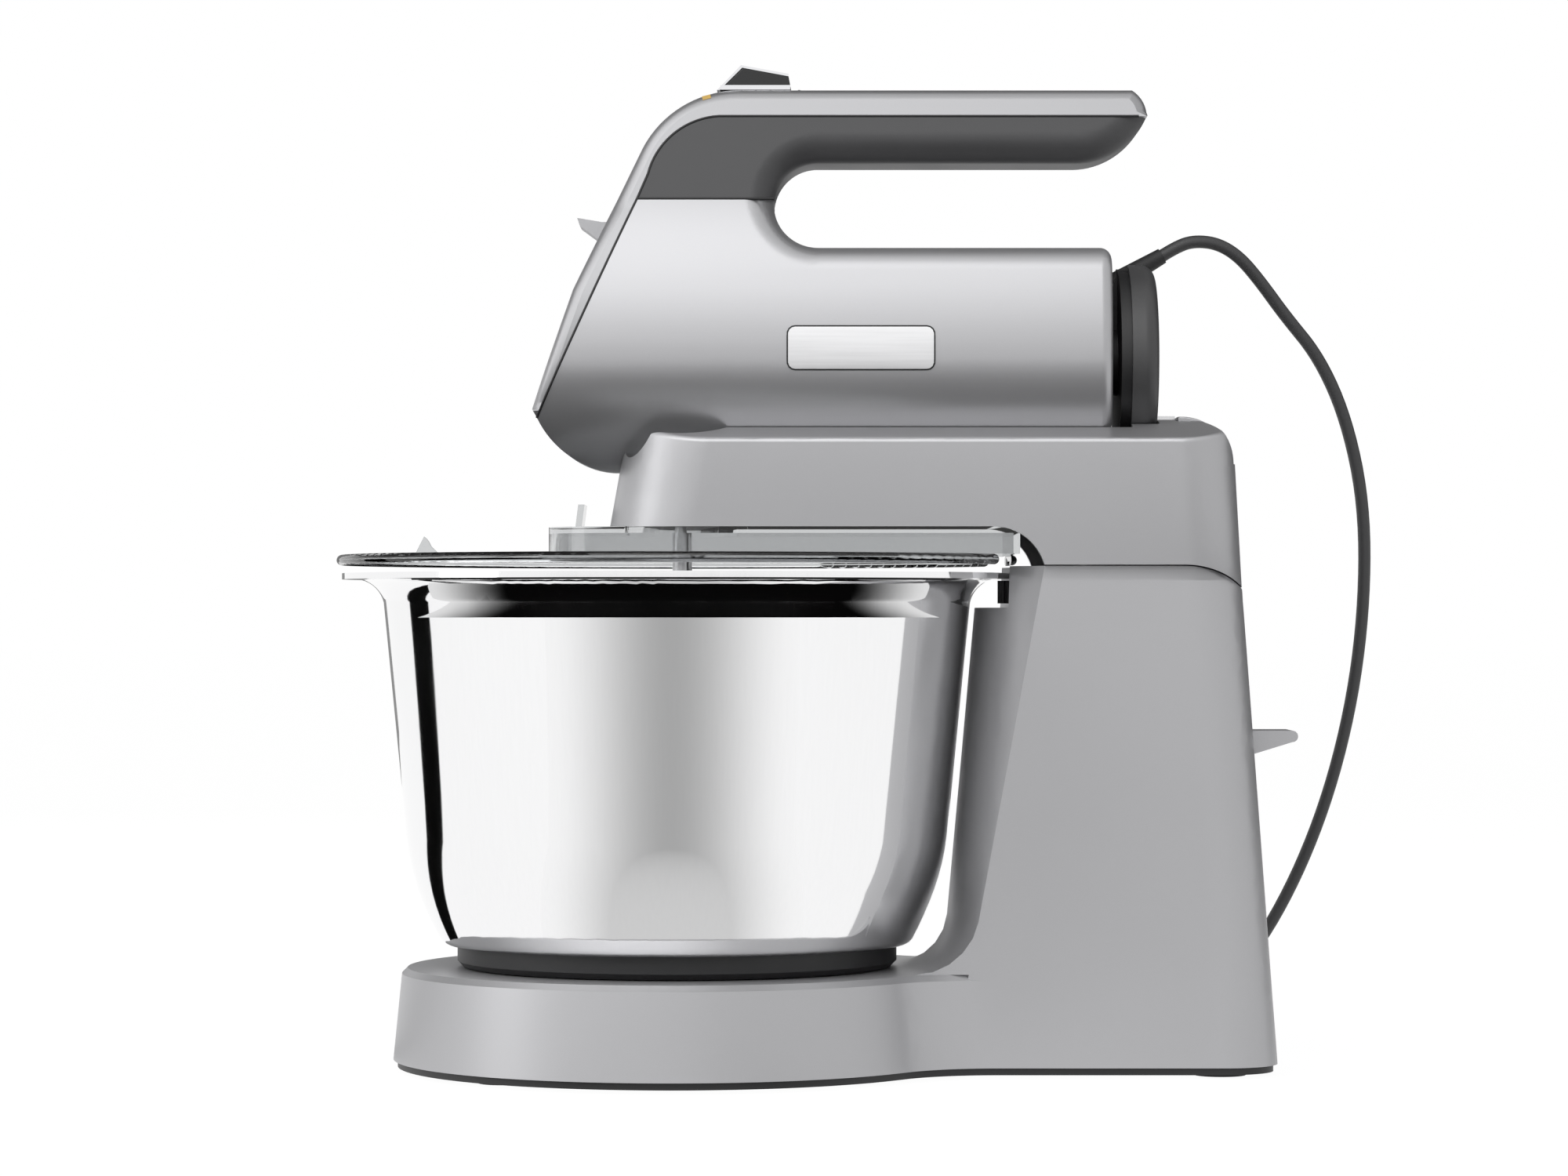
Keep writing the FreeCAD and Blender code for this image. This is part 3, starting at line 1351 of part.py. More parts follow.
def finish():
    doc.recompute()
    bad = [f"{item.Name} {item.State}" for item in doc.Objects
           if "Invalid" in item.State or "Error" in item.State]
    for item in nodes:
        if item.Shape.isNull() or not item.Shape.isValid() or not item.Shape.Solids:
            bad.append(f"{item.Label} has no valid shape")
    if bad:
        raise SystemExit("failed: " + ", ".join(bad))
    os.makedirs("parts", exist_ok=True)
    for item in nodes:
        item.Shape.exportStep(f"parts/{item.Label}.step")
        box = item.Shape.BoundBox
        print(f"{item.Label}: {len(item.Shape.Solids)} solids, {item.Shape.Volume:.0f} mm3, "
              f"x {box.XMin:.1f} {box.XMax:.1f} y {box.YMin:.1f} {box.YMax:.1f} "
              f"z {box.ZMin:.1f} {box.ZMax:.1f}")


finish()
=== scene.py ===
import json
import math

import bmesh
import bpy
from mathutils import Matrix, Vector


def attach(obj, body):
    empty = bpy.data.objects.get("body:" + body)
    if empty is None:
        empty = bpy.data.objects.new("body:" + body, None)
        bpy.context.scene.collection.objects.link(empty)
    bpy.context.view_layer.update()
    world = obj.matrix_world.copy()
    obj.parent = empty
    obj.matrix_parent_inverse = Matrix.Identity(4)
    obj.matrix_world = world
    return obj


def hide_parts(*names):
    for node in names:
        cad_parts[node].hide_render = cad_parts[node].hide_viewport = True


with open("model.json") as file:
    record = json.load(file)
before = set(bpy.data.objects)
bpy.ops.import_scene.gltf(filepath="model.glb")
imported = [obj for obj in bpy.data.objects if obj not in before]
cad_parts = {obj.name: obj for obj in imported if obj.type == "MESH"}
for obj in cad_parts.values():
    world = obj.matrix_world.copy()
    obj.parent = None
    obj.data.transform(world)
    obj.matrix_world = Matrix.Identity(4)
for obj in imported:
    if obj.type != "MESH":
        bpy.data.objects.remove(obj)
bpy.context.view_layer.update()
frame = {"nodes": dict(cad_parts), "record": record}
nodes = frame["nodes"]
scene = bpy.context.scene
mm = 0.001

# camera level with the bowl's rim, square to the long side
cameraSet = {"place": (-0.0113, -1.735, 0.159), "lens": 113.4, "sensor": 36.0, "shiftY": 0.0175}
cameraData = bpy.data.cameras.new("mixerCamera")
cameraData.lens = cameraSet["lens"]
cameraData.sensor_width = cameraSet["sensor"]
cameraData.shift_y = cameraSet["shiftY"]
cameraObject = bpy.data.objects.new("mixerCamera", cameraData)
cameraObject.location = cameraSet["place"]
cameraObject.rotation_euler = (math.radians(90), 0, 0)
scene.collection.objects.link(cameraObject)
scene.camera = cameraObject
print("camera set")


# shader helpers
surfaceOutputs = {"Colour": "NodeSocketColor", "Roughness": "NodeSocketFloat", "Height": "NodeSocketFloat"}


def newGroup(name, inputs):
    group = bpy.data.node_groups.new(name, "ShaderNodeTree")
    for label, kind, value in inputs:
        socket = group.interface.new_socket(label, in_out="INPUT", socket_type=kind)
        socket.default_value = value
    for label, kind in surfaceOutputs.items():
        group.interface.new_socket(label, in_out="OUTPUT", socket_type=kind)
    first = group.nodes.new("NodeGroupInput")
    last = group.nodes.new("NodeGroupOutput")
    return group, first.outputs, last.inputs


def addNode(tree, kind, settings=None, **links):
    node = tree.nodes.new(kind)
    for key, value in (settings or {}).items():
        setattr(node, key, value)
    for label, value in links.items():
        # a label such as i6 stands for the socket with that number
        byNumber = label[0] == "i" and label[1:].isdigit()
        socket = node.inputs[int(label[1:])] if byNumber else node.inputs[label]
        if isinstance(value, bpy.types.NodeSocket):
            tree.links.new(value, socket)
        else:
            socket.default_value = value
    return node


def mathNode(tree, operation, first, second=0.0):
    return addNode(tree, "ShaderNodeMath", {"operation": operation}, i0=first, i1=second).outputs[0]


def rangeNode(tree, value, low, high):
    node = addNode(tree, "ShaderNodeMapRange", None, Value=value, **{"To Min": low, "To Max": high})
    return node.outputs[0]


def smoothNode(tree, value, given, wanted):
    return addNode(tree, "ShaderNodeMapRange", {"interpolation_type": "SMOOTHSTEP"}, Value=value, **{
        "From Min": given[0], "From Max": given[1], "To Min": wanted[0], "To Max": wanted[1]}).outputs[0]


def tintNode(tree, colour, factor):
    # colour made lighter or darker by a factor near one
    node = addNode(tree, "ShaderNodeMix", {"data_type": "RGBA", "blend_type": "MULTIPLY"}, i0=1.0, i6=colour)
    mixed = addNode(tree, "ShaderNodeCombineColor", None, i0=factor, i1=factor, i2=factor)
    tree.links.new(mixed.outputs[0], node.inputs[7])
    return node.outputs[2]


def noiseNode(tree, scale, detail=2.0, stretch=None):
    spot = addNode(tree, "ShaderNodeTexCoord").outputs["Object"]
    if stretch is not None:
        spot = addNode(tree, "ShaderNodeMapping", None, Vector=spot, Scale=stretch).outputs[0]
    return addNode(tree, "ShaderNodeTexNoise", None, Vector=spot, Scale=scale, Detail=detail).outputs[0]


# sprayed metal-look paint: fine flake, slow shade drift, faint orange peel
flakeSet = {"flakeScale": 3800.0, "flakeDetail": 1.0, "driftScale": 14.0, "peelScale": 620.0, "drift": 0.05,
            "driftRough": 0.9, "flakeHeight": 0.35}


def makeFlakePaint():
    group, given, out = newGroup("flakePaint", [
        ("Colour", "NodeSocketColor", (0.5, 0.5, 0.5, 1)), ("Rough", "NodeSocketFloat", 0.4),
        ("Flake", "NodeSocketFloat", 0.06)])
    flake = noiseNode(group, flakeSet["flakeScale"], flakeSet["flakeDetail"])
    drift = noiseNode(group, flakeSet["driftScale"])
    peel = noiseNode(group, flakeSet["peelScale"])
    spread = mathNode(group, "MULTIPLY", mathNode(group, "SUBTRACT", flake, 0.5), given["Flake"])
    slow = mathNode(group, "MULTIPLY", mathNode(group, "SUBTRACT", drift, 0.5), flakeSet["drift"])
    factor = mathNode(group, "ADD", mathNode(group, "ADD", spread, slow), 1.0)
    group.links.new(tintNode(group, given["Colour"], factor), out["Colour"])
    patchy = mathNode(group, "MULTIPLY", slow, flakeSet["driftRough"])
    group.links.new(mathNode(group, "ADD", given["Rough"], patchy), out["Roughness"])
    raised = mathNode(group, "MULTIPLY", flake, flakeSet["flakeHeight"])
    group.links.new(mathNode(group, "ADD", raised, peel), out["Height"])
    return group


# fine pebbled mould texture with rubbed, slightly shinier patches
grainSet = {"rubScale": 38.0, "rubDetail": 4.0, "rubTint": (0.86, 1.14), "rubRough": (-0.07, 0.07)}


def makeMouldGrain():
    group, given, out = newGroup("mouldGrain", [
        ("Colour", "NodeSocketColor", (0.1, 0.1, 0.1, 1)), ("Rough", "NodeSocketFloat", 0.55),
        ("Grain", "NodeSocketFloat", 2200.0)])
    spot = addNode(group, "ShaderNodeTexCoord").outputs["Object"]
    pebble = addNode(group, "ShaderNodeTexVoronoi", None, Vector=spot, Scale=given["Grain"]).outputs[0]
    rubbed = noiseNode(group, grainSet["rubScale"], grainSet["rubDetail"])
    factor = rangeNode(group, rubbed, *grainSet["rubTint"])
    group.links.new(tintNode(group, given["Colour"], factor), out["Colour"])
    rough = mathNode(group, "ADD", given["Rough"], rangeNode(group, rubbed, *grainSet["rubRough"]))
    group.links.new(rough, out["Roughness"])
    group.links.new(pebble, out["Height"])
    return group


# long fine scratches along one direction, and faint hand marks
brushSet = {"lineScale": 900.0, "lineDetail": 3.0, "markScale": 30.0, "markDetail": 3.0,
            "markRough": (-0.02, 0.03), "leastRough": 0.02}


def makeBrushLines():
    group, given, out = newGroup("brushLines", [
        ("Colour", "NodeSocketColor", (0.6, 0.6, 0.6, 1)), ("Rough", "NodeSocketFloat", 0.25),
        ("Stretch", "NodeSocketVector", (1, 1, 1)), ("Depth", "NodeSocketFloat", 0.1)])
    lines = noiseNode(group, brushSet["lineScale"], brushSet["lineDetail"], given["Stretch"])
    marks = noiseNode(group, brushSet["markScale"], brushSet["markDetail"])
    spread = mathNode(group, "MULTIPLY", mathNode(group, "SUBTRACT", lines, 0.5), given["Depth"])
    group.links.new(tintNode(group, given["Colour"], mathNode(group, "ADD", spread, 1.0)), out["Colour"])
    worn = mathNode(group, "ADD", spread, rangeNode(group, marks, *brushSet["markRough"]))
    rough = mathNode(group, "ADD", given["Rough"], worn)
    group.links.new(mathNode(group, "MAXIMUM", rough, brushSet["leastRough"]), out["Roughness"])
    group.links.new(lines, out["Height"])
    return group


surfaceGroups = {
    "flakePaint": makeFlakePaint(),
    "mouldGrain": makeMouldGrain(),
    "brushLines": makeBrushLines(),
}


# each finish is a shared surface group with its own values; bump is a strength and a distance in metres
def newMaterial(name, group, colour, rough, bump, metallic=0.0, extra=None, **values):
    material = bpy.data.materials.new(name)
    material.use_nodes = True
    tree = material.node_tree
    shader = tree.nodes["Principled BSDF"]
    shader.inputs["Metallic"].default_value = metallic
    for label, value in (extra or {}).items():
        shader.inputs[label].default_value = value
    surface = tree.nodes.new("ShaderNodeGroup")
    surface.node_tree = surfaceGroups[group]
    surface.inputs["Colour"].default_value = (*colour, 1)
    surface.inputs["Rough"].default_value = rough
    for label, value in values.items():
        surface.inputs[label].default_value = value
    tree.links.new(surface.outputs["Colour"], shader.inputs["Base Color"])
    tree.links.new(surface.outputs["Roughness"], shader.inputs["Roughness"])
    raised = tree.nodes.new("ShaderNodeBump")
    raised.inputs["Strength"].default_value = bump[0]
    raised.inputs["Distance"].default_value = bump[1]
    tree.links.new(surface.outputs["Height"], raised.inputs["Height"])
    tree.links.new(raised.outputs["Normal"], shader.inputs["Normal"])
    return material


finishSet = {
    "satinSilver": {"group": "flakePaint", "colour": (0.48, 0.48, 0.493), "rough": 0.39,
                    "bump": (0.05, 0.00012), "metallic": 0.62},
    "paleTrim": {"group": "flakePaint", "colour": (0.37, 0.37, 0.38), "rough": 0.36,
                 "bump": (0.04, 0.0001), "metallic": 0.6},
    "gripGrey": {"group": "mouldGrain", "colour": (0.075, 0.075, 0.078), "rough": 0.5,
                 "bump": (0.12, 0.0001)},
    "mattBlack": {"group": "mouldGrain", "colour": (0.012, 0.012, 0.013), "rough": 0.5,
                  "bump": (0.15, 0.0001)},
    "spoolGrey": {"group": "mouldGrain", "colour": (0.07, 0.07, 0.072), "rough": 0.42,
                  "bump": (0.1, 0.0001)},
    "polishedSteel": {"group": "brushLines", "colour": (0.9, 0.9, 0.905), "rough": 0.05,
                      "bump": (0.01, 0.00005), "metallic": 1.0, "Stretch": (1, 1, 0.02), "Depth": 0.03},
    "brightSteel": {"group": "brushLines", "colour": (0.7, 0.7, 0.71), "rough": 0.2,
                    "bump": (0.03, 0.00005), "metallic": 1.0, "Stretch": (1, 1, 0.05), "Depth": 0.12},
    "plateSteel": {"group": "brushLines", "colour": (0.82, 0.82, 0.83), "rough": 0.36,
                   "bump": (0.08, 0.00004), "metallic": 0.6, "Stretch": (0.03, 1, 1), "Depth": 0.22},
    "brightChrome": {"group": "brushLines", "colour": (0.82, 0.82, 0.84), "rough": 0.07,
                     "bump": (0.01, 0.00003), "metallic": 1.0, "Stretch": (0.1, 1, 1), "Depth": 0.04},
    "darkIron": {"group": "mouldGrain", "colour": (0.12, 0.12, 0.125), "rough": 0.45,
                 "bump": (0.2, 0.0001), "metallic": 0.8, "Grain": 900.0},
    "plainBrass": {"group": "brushLines", "colour": (0.62, 0.44, 0.19), "rough": 0.3,
                   "bump": (0.05, 0.00005), "metallic": 1.0, "Stretch": (1, 1, 0.05), "Depth": 0.15},
    "softRubber": {"group": "mouldGrain", "colour": (0.018, 0.018, 0.019), "rough": 0.62,
                   "bump": (0.2, 0.00012), "Grain": 1500.0},
    "cordCover": {"group": "mouldGrain", "colour": (0.055, 0.055, 0.057), "rough": 0.5,
                  "bump": (0.12, 0.0001), "Grain": 1800.0},
    "amberMark": {"group": "mouldGrain", "colour": (0.76, 0.5, 0.14), "rough": 0.35,
                  "bump": (0.02, 0.00005)},
    "clearPlastic": {"group": "brushLines", "colour": (0.59, 0.6, 0.605), "rough": 0.03,
                     "bump": (0.005, 0.00003), "Depth": 0.012,
                     "extra": {"Transmission Weight": 1.0, "IOR": 1.49}},
}
finishes = {name: newMaterial(name, **given) for name, given in finishSet.items()}


# painted shade: clear plastic is given a darker colour where it is seen along its skin, standing in for the
# dark edge lines its inner reflections make
clearEdgeShade = {"dark": (0.03, 0.032, 0.035), "start": 0.72}


# painted shade: a dark colour is mixed into the base colour as the view turns edge-on
def paintEdgeShade(material, dark, start):
    tree = material.node_tree
    shader = tree.nodes["Principled BSDF"]
    colour = shader.inputs["Base Color"].links[0].from_socket
    facing = addNode(tree, "ShaderNodeLayerWeight").outputs["Facing"]
    share = smoothNode(tree, facing, (start, 1.0), (0.0, 1.0))
    mixed = addNode(tree, "ShaderNodeMix", {"data_type": "RGBA"}, i0=share, i6=colour, i7=(*dark, 1))
    tree.links.new(mixed.outputs[2], shader.inputs["Base Color"])


# the splash guard's clear plastic gets this painted edge shade
paintEdgeShade(finishes["clearPlastic"], clearEdgeShade["dark"], clearEdgeShade["start"])

finishOf = {
    "satinSilver": "stand_shell head_shell mixer_housing release_button tilt_lever front_lever",
    "paleTrim": "top_trim",
    "gripGrey": "handle_grip",
    "spoolGrey": "cord_spool",
    "mattBlack": "turntable base_plate head_cover bowl_roller speed_slider speed_switch front_motor_frame "
                 "rear_motor_frame cooling_fan worm_wheel_left worm_wheel_right hinge_lugs spool_hub",
    "clearPlastic": "splash_guard",
    "polishedSteel": "bowl",
    "brightSteel": "turntable_pin roller_pin hinge_pin lever_pin front_lever_pin worm_shaft beater_left "
                   "beater_right mixer_catch",
    "brightChrome": "slider_cap",
    "darkIron": "motor_stator rotor_core",
    "plainBrass": "commutator brush_holders front_bearing rear_bearing hinge_bushes plug_pins",
    "softRubber": "rubber_feet cord_gland cord_plug cord_tie",
    "cordCover": "cord_lead cord_coil",
}
bodyOf = {name: body for body, names in frame["record"]["behaviour"]["bodies"].items() for name in names}
for finish, names in finishOf.items():
    for name in names.split():
        for slot in nodes[name].material_slots:
            slot.material = finishes[finish]
print("finishes on", len(nodes), "nodes")


# an object with modifiers becomes a plain mesh that rides on a body
def bakePiece(item, body):
    scene.collection.objects.link(item)
    graph = bpy.context.evaluated_depsgraph_get()
    mesh = bpy.data.meshes.new_from_object(item.evaluated_get(graph))
    item.modifiers.clear()
    item.data = mesh
    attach(item, body)


# moulded shells: one joined skin with even shading, and the width of the round on their edges in metres
shellSet = {
    "mixer_housing": 0.0, "handle_grip": 0.0, "top_trim": 0.0036, "head_shell": 0.0006, "stand_shell": 0.0,
    "bowl": 0.0, "cord_spool": 0.0, "release_button": 0.0005, "tilt_lever": 0.0006, "speed_slider": 0.0005,
    "splash_guard": 0.0,
}
shellAngle = math.radians(28)
edgeSegments = 3
joinReach = 1e-6

# on the trim only the shoulder is rounded, where its sides meet its front and top
shoulder = {"node": "top_trim", "flat": math.radians(0.05), "sideShare": 0.6, "upShare": 0.1}


def weighShoulder(skin):
    bmesh.ops.dissolve_limit(skin, angle_limit=shoulder["flat"], verts=skin.verts, edges=skin.edges)
    weights = skin.edges.layers.float.new("bevel_weight_edge")
    for edge in skin.edges:
        if edge.calc_face_angle(0) <= shellAngle:
            continue
        side, outer = sorted((face.normal for face in edge.link_faces), key=lambda normal: -abs(normal.y))
        outward = math.copysign(side.y, side.y * edge.verts[0].co.y)
        if outward > shoulder["sideShare"] and outer.z > shoulder["upShare"]:
            edge[weights] = 1


def makeShell(name, edge):
    mesh = nodes[name].data.copy()
    byWeight = name == shoulder["node"]
    skin = bmesh.new()
    skin.from_mesh(mesh)
    bmesh.ops.remove_doubles(skin, verts=skin.verts, dist=joinReach)
    if byWeight:
        weighShoulder(skin)
    skin.to_mesh(mesh)
    skin.free()
    if "custom_normal" in mesh.attributes:
        mesh.attributes.remove(mesh.attributes["custom_normal"])
    mesh.shade_smooth()
    mesh.set_sharp_from_angle(angle=shellAngle)
    shell = bpy.data.objects.new(name + "Skin", mesh)
    if edge:
        bevel = shell.modifiers.new("edge", "BEVEL")
        bevel.width = edge
        bevel.segments = edgeSegments
        bevel.limit_method = "WEIGHT" if byWeight else "ANGLE"
        bevel.angle_limit = shellAngle
        bevel.use_clamp_overlap = not byWeight
    even = shell.modifiers.new("even", "WEIGHTED_NORMAL")
    even.keep_sharp = True
    bakePiece(shell, bodyOf[name])
    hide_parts(name)
    return shell.data


# a spun wall mirrors evenly: its shading has no part that runs round the axis
def evenRound(mesh, axis):
    turned = []
    for loop, normal in zip(mesh.loops, mesh.corner_normals):
        spot = mesh.vertices[loop.vertex_index].co
        out = Vector((spot.x - axis[0], spot.y - axis[1], 0)).normalized()
        turned.append((out * normal.vector.dot(out) + Vector((0, 0, normal.vector.z))).normalized())
    mesh.normals_split_custom_set(turned)


skins = {name: makeShell(name, edge) for name, edge in shellSet.items()}
bowlAxis = (-0.0488, 0.0)
evenRound(skins["bowl"], bowlAxis)
print("shells joined", len(skins))

# side of the hand mixer: round barrel below, a long curve above it, then the leaning handle
sideSet = {"barrelZ": 247.6, "barrel": 38.7, "bow": 120.08, "partingZ": 303.3, "root": 25.0, "topZ": 342.0,
           "top": 17.0}


def sideAt(z):
    rise = z - sideSet["barrelZ"]
    if rise <= 0:
        return math.sqrt(sideSet["barrel"] ** 2 - rise ** 2)
    if z <= sideSet["partingZ"]:
        return sideSet["barrel"] - sideSet["bow"] + math.sqrt(sideSet["bow"] ** 2 - rise ** 2)
    share = (z - sideSet["partingZ"]) / (sideSet["topZ"] - sideSet["partingZ"])
    return sideSet["root"] + share * (sideSet["top"] - sideSet["root"])


# bare plate with a thin dark border on the near side of the barrel
plateSet = {"centre": (15.15, 250.95), "half": (25.05, 7.25), "corner": 2.4, "rows": 12, "border": 0.55,
            "thick": 0.9, "proud": 0.35}


def makePlate(name, grow, proud, finish):
    half = [value + grow for value in plateSet["half"]]
    corner = plateSet["corner"] + grow
    mesh = bpy.data.meshes.new(name)
    patch = bmesh.new()
    rows = []
    for i in range(plateSet["rows"] + 1):
        turn = math.pi * i / plateSet["rows"]
        up = -math.cos(turn) * half[1]
        over = max(abs(up) - (half[1] - corner), 0)
        across = half[0] - corner + math.sqrt(max(corner ** 2 - over ** 2, 0))
        z = plateSet["centre"][1] + up
        y = -sideAt(z) - proud
        ends = [plateSet["centre"][0] + side * across for side in (-1, 1)]
        rows.append([patch.verts.new(Vector((x, y, z)) * mm) for x in ends])
    for low, high in zip(rows, rows[1:]):
        patch.faces.new((low[0], low[1], high[1], high[0]))
    patch.to_mesh(mesh)
    patch.free()
    mesh.shade_smooth()
    mesh.materials.append(finishes[finish])
    plate = bpy.data.objects.new(name, mesh)
    thick = plate.modifiers.new("thick", "SOLIDIFY")
    thick.thickness = plateSet["thick"] * mm
    thick.offset = -1
    split = plate.modifiers.new("split", "EDGE_SPLIT")
    split.split_angle = shellAngle
    bakePiece(plate, "mixer")


makePlate("barePlate", 0.0, plateSet["proud"], "plateSteel")
makePlate("plateBorder", plateSet["border"], plateSet["proud"] / 2, "mattBlack")
print("plate made")


# geometry tree with named inputs and one output
def newTree(name, inputs, output):
    tree = bpy.data.node_groups.new(name, "GeometryNodeTree")
    for label, kind in inputs.items():
        tree.interface.new_socket(label, in_out="INPUT", socket_type=kind)
    tree.interface.new_socket(output, in_out="OUTPUT", socket_type="NodeSocketGeometry")
    given = tree.nodes.new("NodeGroupInput").outputs
    out = tree.nodes.new("NodeGroupOutput").inputs
    return tree, given, out[output]


# node tree that turns edges into a thin round bead
def makeBeadTree():
    tree, given, out = newTree("seamBead", {
        "Line": "NodeSocketGeometry", "Radius": "NodeSocketFloat", "Sides": "NodeSocketInt",
        "Finish": "NodeSocketMaterial"}, "Bead")
    line = addNode(tree, "GeometryNodeMeshToCurve", None, Mesh=given["Line"])
    ring = addNode(tree, "GeometryNodeCurvePrimitiveCircle", None, Resolution=given["Sides"],
                   Radius=given["Radius"])
    bead = addNode(tree, "GeometryNodeCurveToMesh", None, Curve=line.outputs[0],
                   **{"Profile Curve": ring.outputs[0], "Fill Caps": True})
    made = addNode(tree, "GeometryNodeSetMaterial", None, Geometry=bead.outputs[0], Material=given["Finish"])
    tree.links.new(made.outputs[0], out)
    return tree


def setInputs(modifier, **values):
    for item in modifier.node_group.interface.items_tree:
        if item.in_out == "INPUT" and item.name in values:
            modifier[item.identifier] = values[item.name]


# dark joints between housing, trim and grip, on both sides
seamSet = {
    "radius": 0.45, "sides": 8, "step": 2.0, "sunk": 0.12,
    "front": [(-96.5, 227.2), (-62.2, 303.3)],
    "waist": [(-62.2, 303.3), (-14.6, 303.3)],
    "bend": {"from": (-58.5, 312.0), "to": (-34.0, 332.5), "radius": 27.0},
    "top": [(-34.0, 332.5), (112.0, 332.5)],
}


def straightRun(start, end):
    count = max(int(math.dist(start, end) / seamSet["step"]), 1)
    return [tuple(a + (b - a) * i / count for a, b in zip(start, end)) for i in range(count + 1)]


def bentRun(given):
    # arc that bulges up and forwards, given by its ends and its radius
    start, end = Vector(given["from"]), Vector(given["to"])
    chord = end - start
    rise = math.sqrt(given["radius"] ** 2 - chord.length_squared / 4)
    centre = (start + end) / 2 + Vector((chord.y, -chord.x)).normalized() * rise
    first = math.atan2(start.y - centre.y, start.x - centre.x)
    last = math.atan2(end.y - centre.y, end.x - centre.x)
    count = int(abs(last - first) * given["radius"] / seamSet["step"])
    angles = [first + (last - first) * i / count for i in range(count + 1)]
    return [(centre.x + given["radius"] * math.cos(angle), centre.y + given["radius"] * math.sin(angle))
            for angle in angles]


beadTree = makeBeadTree()


def makeSeams():
    upper = straightRun(seamSet["waist"][0], seamSet["bend"]["from"]) + bentRun(seamSet["bend"])[1:]
    upper += straightRun(*seamSet["top"])[1:]
    verts, edges = [], []
    for side in (-1, 1):
        for run in (straightRun(*seamSet["front"]), straightRun(*seamSet["waist"]), upper):
            edges += [(len(verts) + i, len(verts) + i + 1) for i in range(len(run) - 1)]
            verts += [Vector((x, side * (sideAt(z) - seamSet["sunk"]), z)) * mm for x, z in run]
    mesh = bpy.data.meshes.new("shellSeams")
    mesh.from_pydata(verts, edges, [])
    seams = bpy.data.objects.new("shellSeams", mesh)
    bead = seams.modifiers.new("bead", "NODES")
    bead.node_group = beadTree
    setInputs(bead, Radius=seamSet["radius"] * mm, Sides=seamSet["sides"], Finish=finishes["mattBlack"])
    bakePiece(seams, "mixer")


makeSeams()
print("seams laid")


# node tree that sets one small block at each point, turned by the point's own angle
def makeMarkTree():
    tree, given, out = newTree("markRow", {
        "Spots": "NodeSocketGeometry", "Size": "NodeSocketVector", "Finish": "NodeSocketMaterial"}, "Marks")
    bar = addNode(tree, "GeometryNodeMeshCube", None, Size=given["Size"])
    turn = addNode(tree, "GeometryNodeInputNamedAttribute", {"data_type": "FLOAT_VECTOR"}, Name="turn")
    spin = addNode(tree, "FunctionNodeEulerToRotation", None, Euler=turn.outputs[0])
    row = addNode(tree, "GeometryNodeInstanceOnPoints", None, Points=given["Spots"], Instance=bar.outputs[0],
                  Rotation=spin.outputs[0])
    real = addNode(tree, "GeometryNodeRealizeInstances", None, Geometry=row.outputs[0])
    made = addNode(tree, "GeometryNodeSetMaterial", None, Geometry=real.outputs[0], Material=given["Finish"])
    tree.links.new(made.outputs[0], out)
    return tree


markTree = makeMarkTree()


def makeMarks(name, spots, size, finish, body, turn=(0, 0, 0)):
    mesh = bpy.data.meshes.new(name)
    mesh.from_pydata([Vector(spot) * mm for spot in spots], [], [])
    for item in mesh.attributes.new("turn", "FLOAT_VECTOR", "POINT").data:
        item.vector = turn
    marks = bpy.data.objects.new(name, mesh)
    row = marks.modifiers.new("row", "NODES")
    row.node_group = markTree
    setInputs(row, Size=Vector(size) * mm, Finish=finishes[finish])
    bakePiece(marks, body)


# plain speed marks beside the slider's slot, without numbers
tickSet = {"count": 6, "start": -31.0, "step": 5.0, "y": -12.35, "z": 342.0, "size": (0.8, 1.9, 0.3)}
tickSpots = [(tickSet["start"] + tickSet["step"] * i, tickSet["y"], tickSet["z"])
             for i in range(tickSet["count"])]
makeMarks("speedTicks", tickSpots, tickSet["size"], "mattBlack", "mixer")

# small amber mark on the trim's near shoulder, where it bends down in front of the slider
amberSet = {"spot": (-38.2, -16.3, 339.1), "roll": 45.0, "lean": -14.0, "size": (3.0, 2.0, 0.7)}
amberTurn = (math.radians(amberSet["roll"]), math.radians(amberSet["lean"]), 0)
makeMarks("amberMark", [amberSet["spot"]], amberSet["size"], "amberMark", "mixer", turn=amberTurn)

# bright strip round the slider's foot
footSet = {"spot": (-21.3, 0.0, 343.3), "size": (24.4, 22.6, 1.6)}
makeMarks("sliderFoot", [footSet["spot"]], footSet["size"], "brightChrome", bodyOf["speed_slider"])
print("marks set")

# cord: the route's own points, then the coil's turns and the tail to the plug
cordSet = {
    "thick": 0.0045, "length": 1.22, "coilOuter": 31.5, "coilStep": 5.2, "layerTurns": 2.5, "climbTurns": 0.5,
    "wholeTurns": 5.125, "pointsPerTurn": 12, "coilLow": 3.25, "tail": 48.0, "plugHeight": 12.0,
    # shares of the tail's length and of its rise
    "tailPoints": [(0.12, 0), (0.38, 0.1), (0.62, 0.9), (0.85, 1), (1, 1)],
    "roundSteps": 6, "pathSteps": 6, "pathOrder": 3,
    "route": [
        (121.5, 0, 285.3), (127.2, 0, 288.9), (133.5, 0.3, 290.6), (141.5, 1, 289.6), (149, 2.2, 285),
        (156.5, 4.5, 276.5), (165.5, 8.5, 264.8), (178.5, 16.5, 250.5), (189.5, 28, 229), (197.5, 43, 199.5),
        (199.5, 58, 165), (197, 73, 129), (190, 89, 93), (179, 105, 60), (165, 121, 32), (148, 137, 12.5),
        (132, 149, 4.2), (118, 159.5, 3.25)],
}


